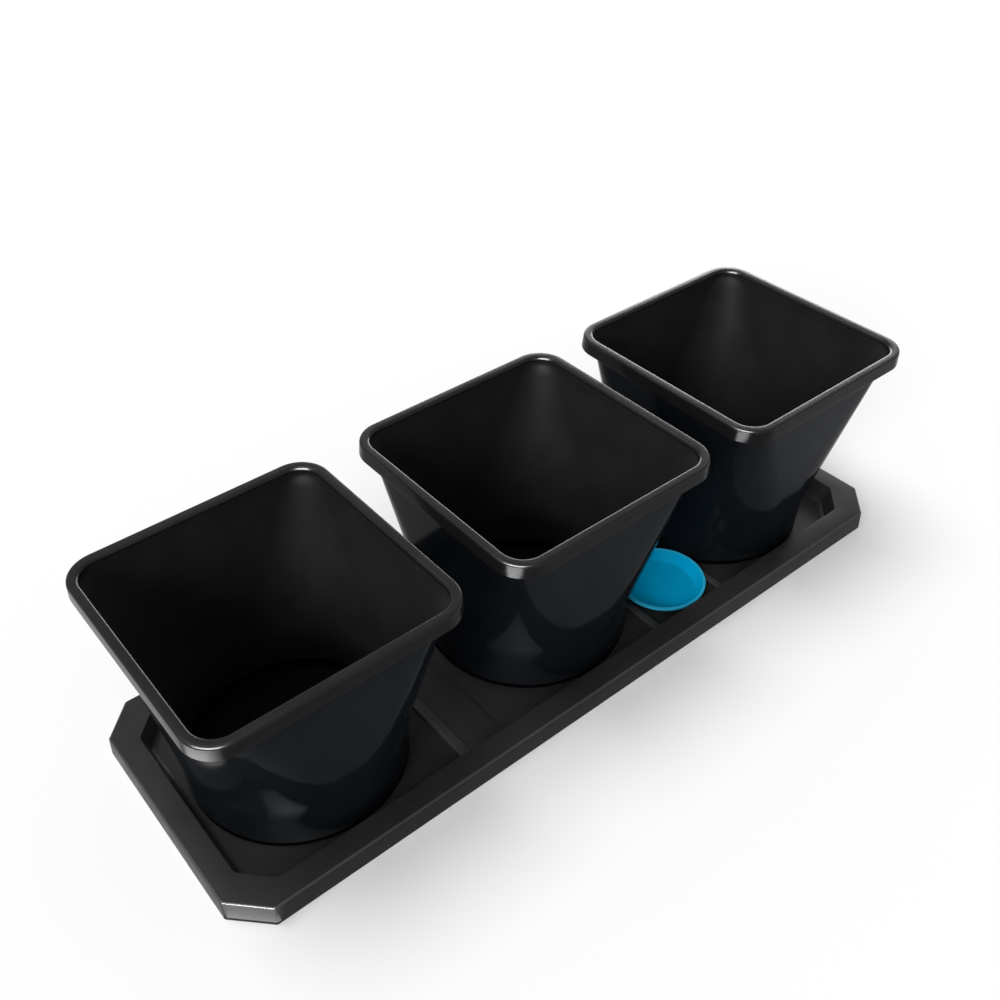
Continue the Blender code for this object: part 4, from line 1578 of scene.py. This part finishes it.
@dataclass(frozen=True)
class FloorPanel:
    """A panel lying low whose reflection lights the near side of one piece."""

    name: str
    x: Span
    y: Span
    brightness: float
    piece: str
    fades: bool = False
    lift: float = 0.004

    def fade(self, lamp: bpy.types.Light, middle: Vector, size: Span) -> None:
        """Lets the light die away from the panel's middle to its edges.

        Args:
            lamp: The panel's lamp.
            middle: Where its middle is.
            size: Its width and height in metres.
        """
        lamp.use_nodes = True
        tree = lamp.node_tree
        spot = add_node(tree, "NewGeometry").outputs["Position"]
        away = add_node(tree, "VectorMath", {0: spot, 1: middle}, operation="SUBTRACT")
        half_sizes = (size[0] / 2, size[1] / 2, 1.0)
        sockets = {0: away.outputs[0], 1: half_sizes}
        share = add_node(tree, "VectorMath", sockets, operation="DIVIDE")
        sockets = {"Vector": share.outputs[0]}
        glow = add_node(tree, "TexGradient", sockets, gradient_type="SPHERICAL")
        wire(tree, tree.nodes["Emission"], {"Strength": glow.outputs["Fac"]})

    def build(self) -> None:
        """Adds the lamp, facing up and linked to its piece."""
        size = (self.x[1] - self.x[0], self.y[1] - self.y[0])
        middle = Vector((sum(self.x) / 2, sum(self.y) / 2, self.lift))
        holder = panel(self.name, size, self.brightness, (self.piece,))
        holder.location = middle
        holder.rotation_euler = (math.pi, 0, 0)
        if self.fades:
            self.fade(holder.data, middle, size)


@dataclass(frozen=True)
class SkyPanel:
    """A far, wide lamp that lights the whole floor evenly."""

    name: str
    azimuth: float
    elevation: float
    width: float
    strength: float

    def build(self) -> None:
        """Adds the lamp."""
        lamp = bpy.data.lights.new(self.name, "SUN")
        lamp.energy = self.strength
        lamp.angle = math.radians(self.width)
        holder = bpy.data.objects.new(self.name, lamp)
        holder.rotation_euler = toward(self.azimuth, self.elevation).to_track_quat("Z", "Y").to_euler()
        bpy.context.scene.collection.objects.link(holder)


@dataclass(frozen=True)
class Studio:
    """A white sweep of floor, a white surround and soft lamps."""

    floor_radius: float = 9.0
    floor_sides: int = 96
    floor_colour: str = "#e8e8e8"
    floor_roughness: Span = (0.9, 1.0)
    floor_mottle_mm: float = 400
    floor_lift: float = 0.1
    ambient: float = 0.36
    lamps: tuple[SkyPanel | GleamPanel | FloorPanel, ...] = (
        SkyPanel("key_left", -65, 30, 24, 1.0),
        SkyPanel("fill_top", -150, 70, 36, 2.05),
        GleamPanel("gleam_front", -60, 34, 2.6, (2.2, 1.6), 95),
        GleamPanel("gleam_back", 132, 19, 2.6, (2.3, 0.75), 12),
        FloorPanel("gleam_corner_1", (-0.88, -0.54), (-0.50, 0.06), 30, "pot_1_moulding", True),
        FloorPanel("gleam_corner_2", (-0.58, -0.36), (-0.47, -0.08), 55, "pot_2_moulding"),
        FloorPanel("gleam_corner_3", (-0.42, -0.20), (-0.56, -0.17), 65, "pot_3_moulding"),
        FloorPanel("gleam_cut_corner", (-0.58, -0.46), (-0.28, -0.131), 9, "tray_moulding"),
        FloorPanel("gleam_basin_1", (-0.46, -0.33), (-0.145, -0.08), 1.1, "pot_1_moulding", True),
        FloorPanel("gleam_basin_2", (-0.19, -0.01), (-0.18, -0.04), 1.0, "pot_2_moulding", True),
        FloorPanel("gleam_basin_3", (0.15, 0.33), (-0.19, -0.03), 0.7, "pot_3_moulding", True),
    )

    def seen_rays(self, tree: bpy.types.NodeTree) -> bpy.types.NodeSocket:
        """Tells the rays that show the surround from those that only light.

        Args:
            tree: The node tree that gets the nodes.

        Returns:
            A socket: one for camera, glossy and transmission rays, nought for the rest.
        """
        path = add_node(tree, "LightPath")
        seen = path.outputs["Is Camera Ray"]
        for ray in ("Is Glossy Ray", "Is Transmission Ray"):
            sockets = {0: seen, 1: path.outputs[ray]}
            seen = add_node(tree, "Math", sockets, operation="MAXIMUM").outputs[0]
        return seen

    def build_world(self) -> None:
        """White to the eye and in reflections, softer as fill light."""
        world = bpy.data.worlds.new("studio_surround")
        bpy.context.scene.world = world
        world.use_nodes = True
        tree = world.node_tree
        sockets = {"Value": self.seen_rays(tree), "To Min": self.ambient, "To Max": 1.0}
        strength = add_node(tree, "MapRange", sockets).outputs["Result"]
        wire(tree, tree.nodes["Background"], {"Color": linear(WHITE), "Strength": strength})

    def build_floor(self) -> None:
        """A round pale floor that keeps the shadow."""
        shape = bmesh.new()
        bmesh.ops.create_circle(shape, cap_ends=True, segments=self.floor_sides, radius=self.floor_radius)
        floor = new_object("studio_floor", shape)
        made, tree, shader, place = new_material("floor_card_matt_white")
        sockets = {"Vector": place, "Scale": per_metre(self.floor_mottle_mm)}
        mottle = add_node(tree, "TexNoise", sockets).outputs["Fac"]
        rough, rougher = self.floor_roughness
        dull = add_node(tree, "MapRange", {"Value": mottle, "To Min": rough, "To Max": rougher})
        lift = add_node(tree, "MapRange", {"Value": self.seen_rays(tree), "To Max": self.floor_lift})
        looks = {
            "Base Color": linear(self.floor_colour),
            "Specular IOR Level": 0.0,
            "Emission Color": linear(WHITE),
            "Roughness": dull.outputs["Result"],
            "Emission Strength": lift.outputs["Result"],
        }
        wire(tree, shader, looks)
        floor.data.materials.append(made)

    def build(self) -> None:
        """Sets up the floor, the surround and the lamps."""
        self.build_world()
        self.build_floor()
        for lamp in self.lamps:
            lamp.build()
        bpy.context.scene.view_settings.view_transform = "Standard"


def main() -> None:
    """Builds the camera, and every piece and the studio."""
    logging.basicConfig(level=logging.INFO, format="%(name)s: %(message)s")
    PhotoCamera().build()
    Tray().build()
    for number, body in enumerate(("pot_a", "pot_b", "pot_c"), 1):
        Pot().build(number, body)
        RootScreen().build(number, body)
    for valve_part in (ValveBase(), ValveCover(), FloatRocker()):
        valve_part.build()
    Studio().build()


if __name__ == "__main__":
    main()
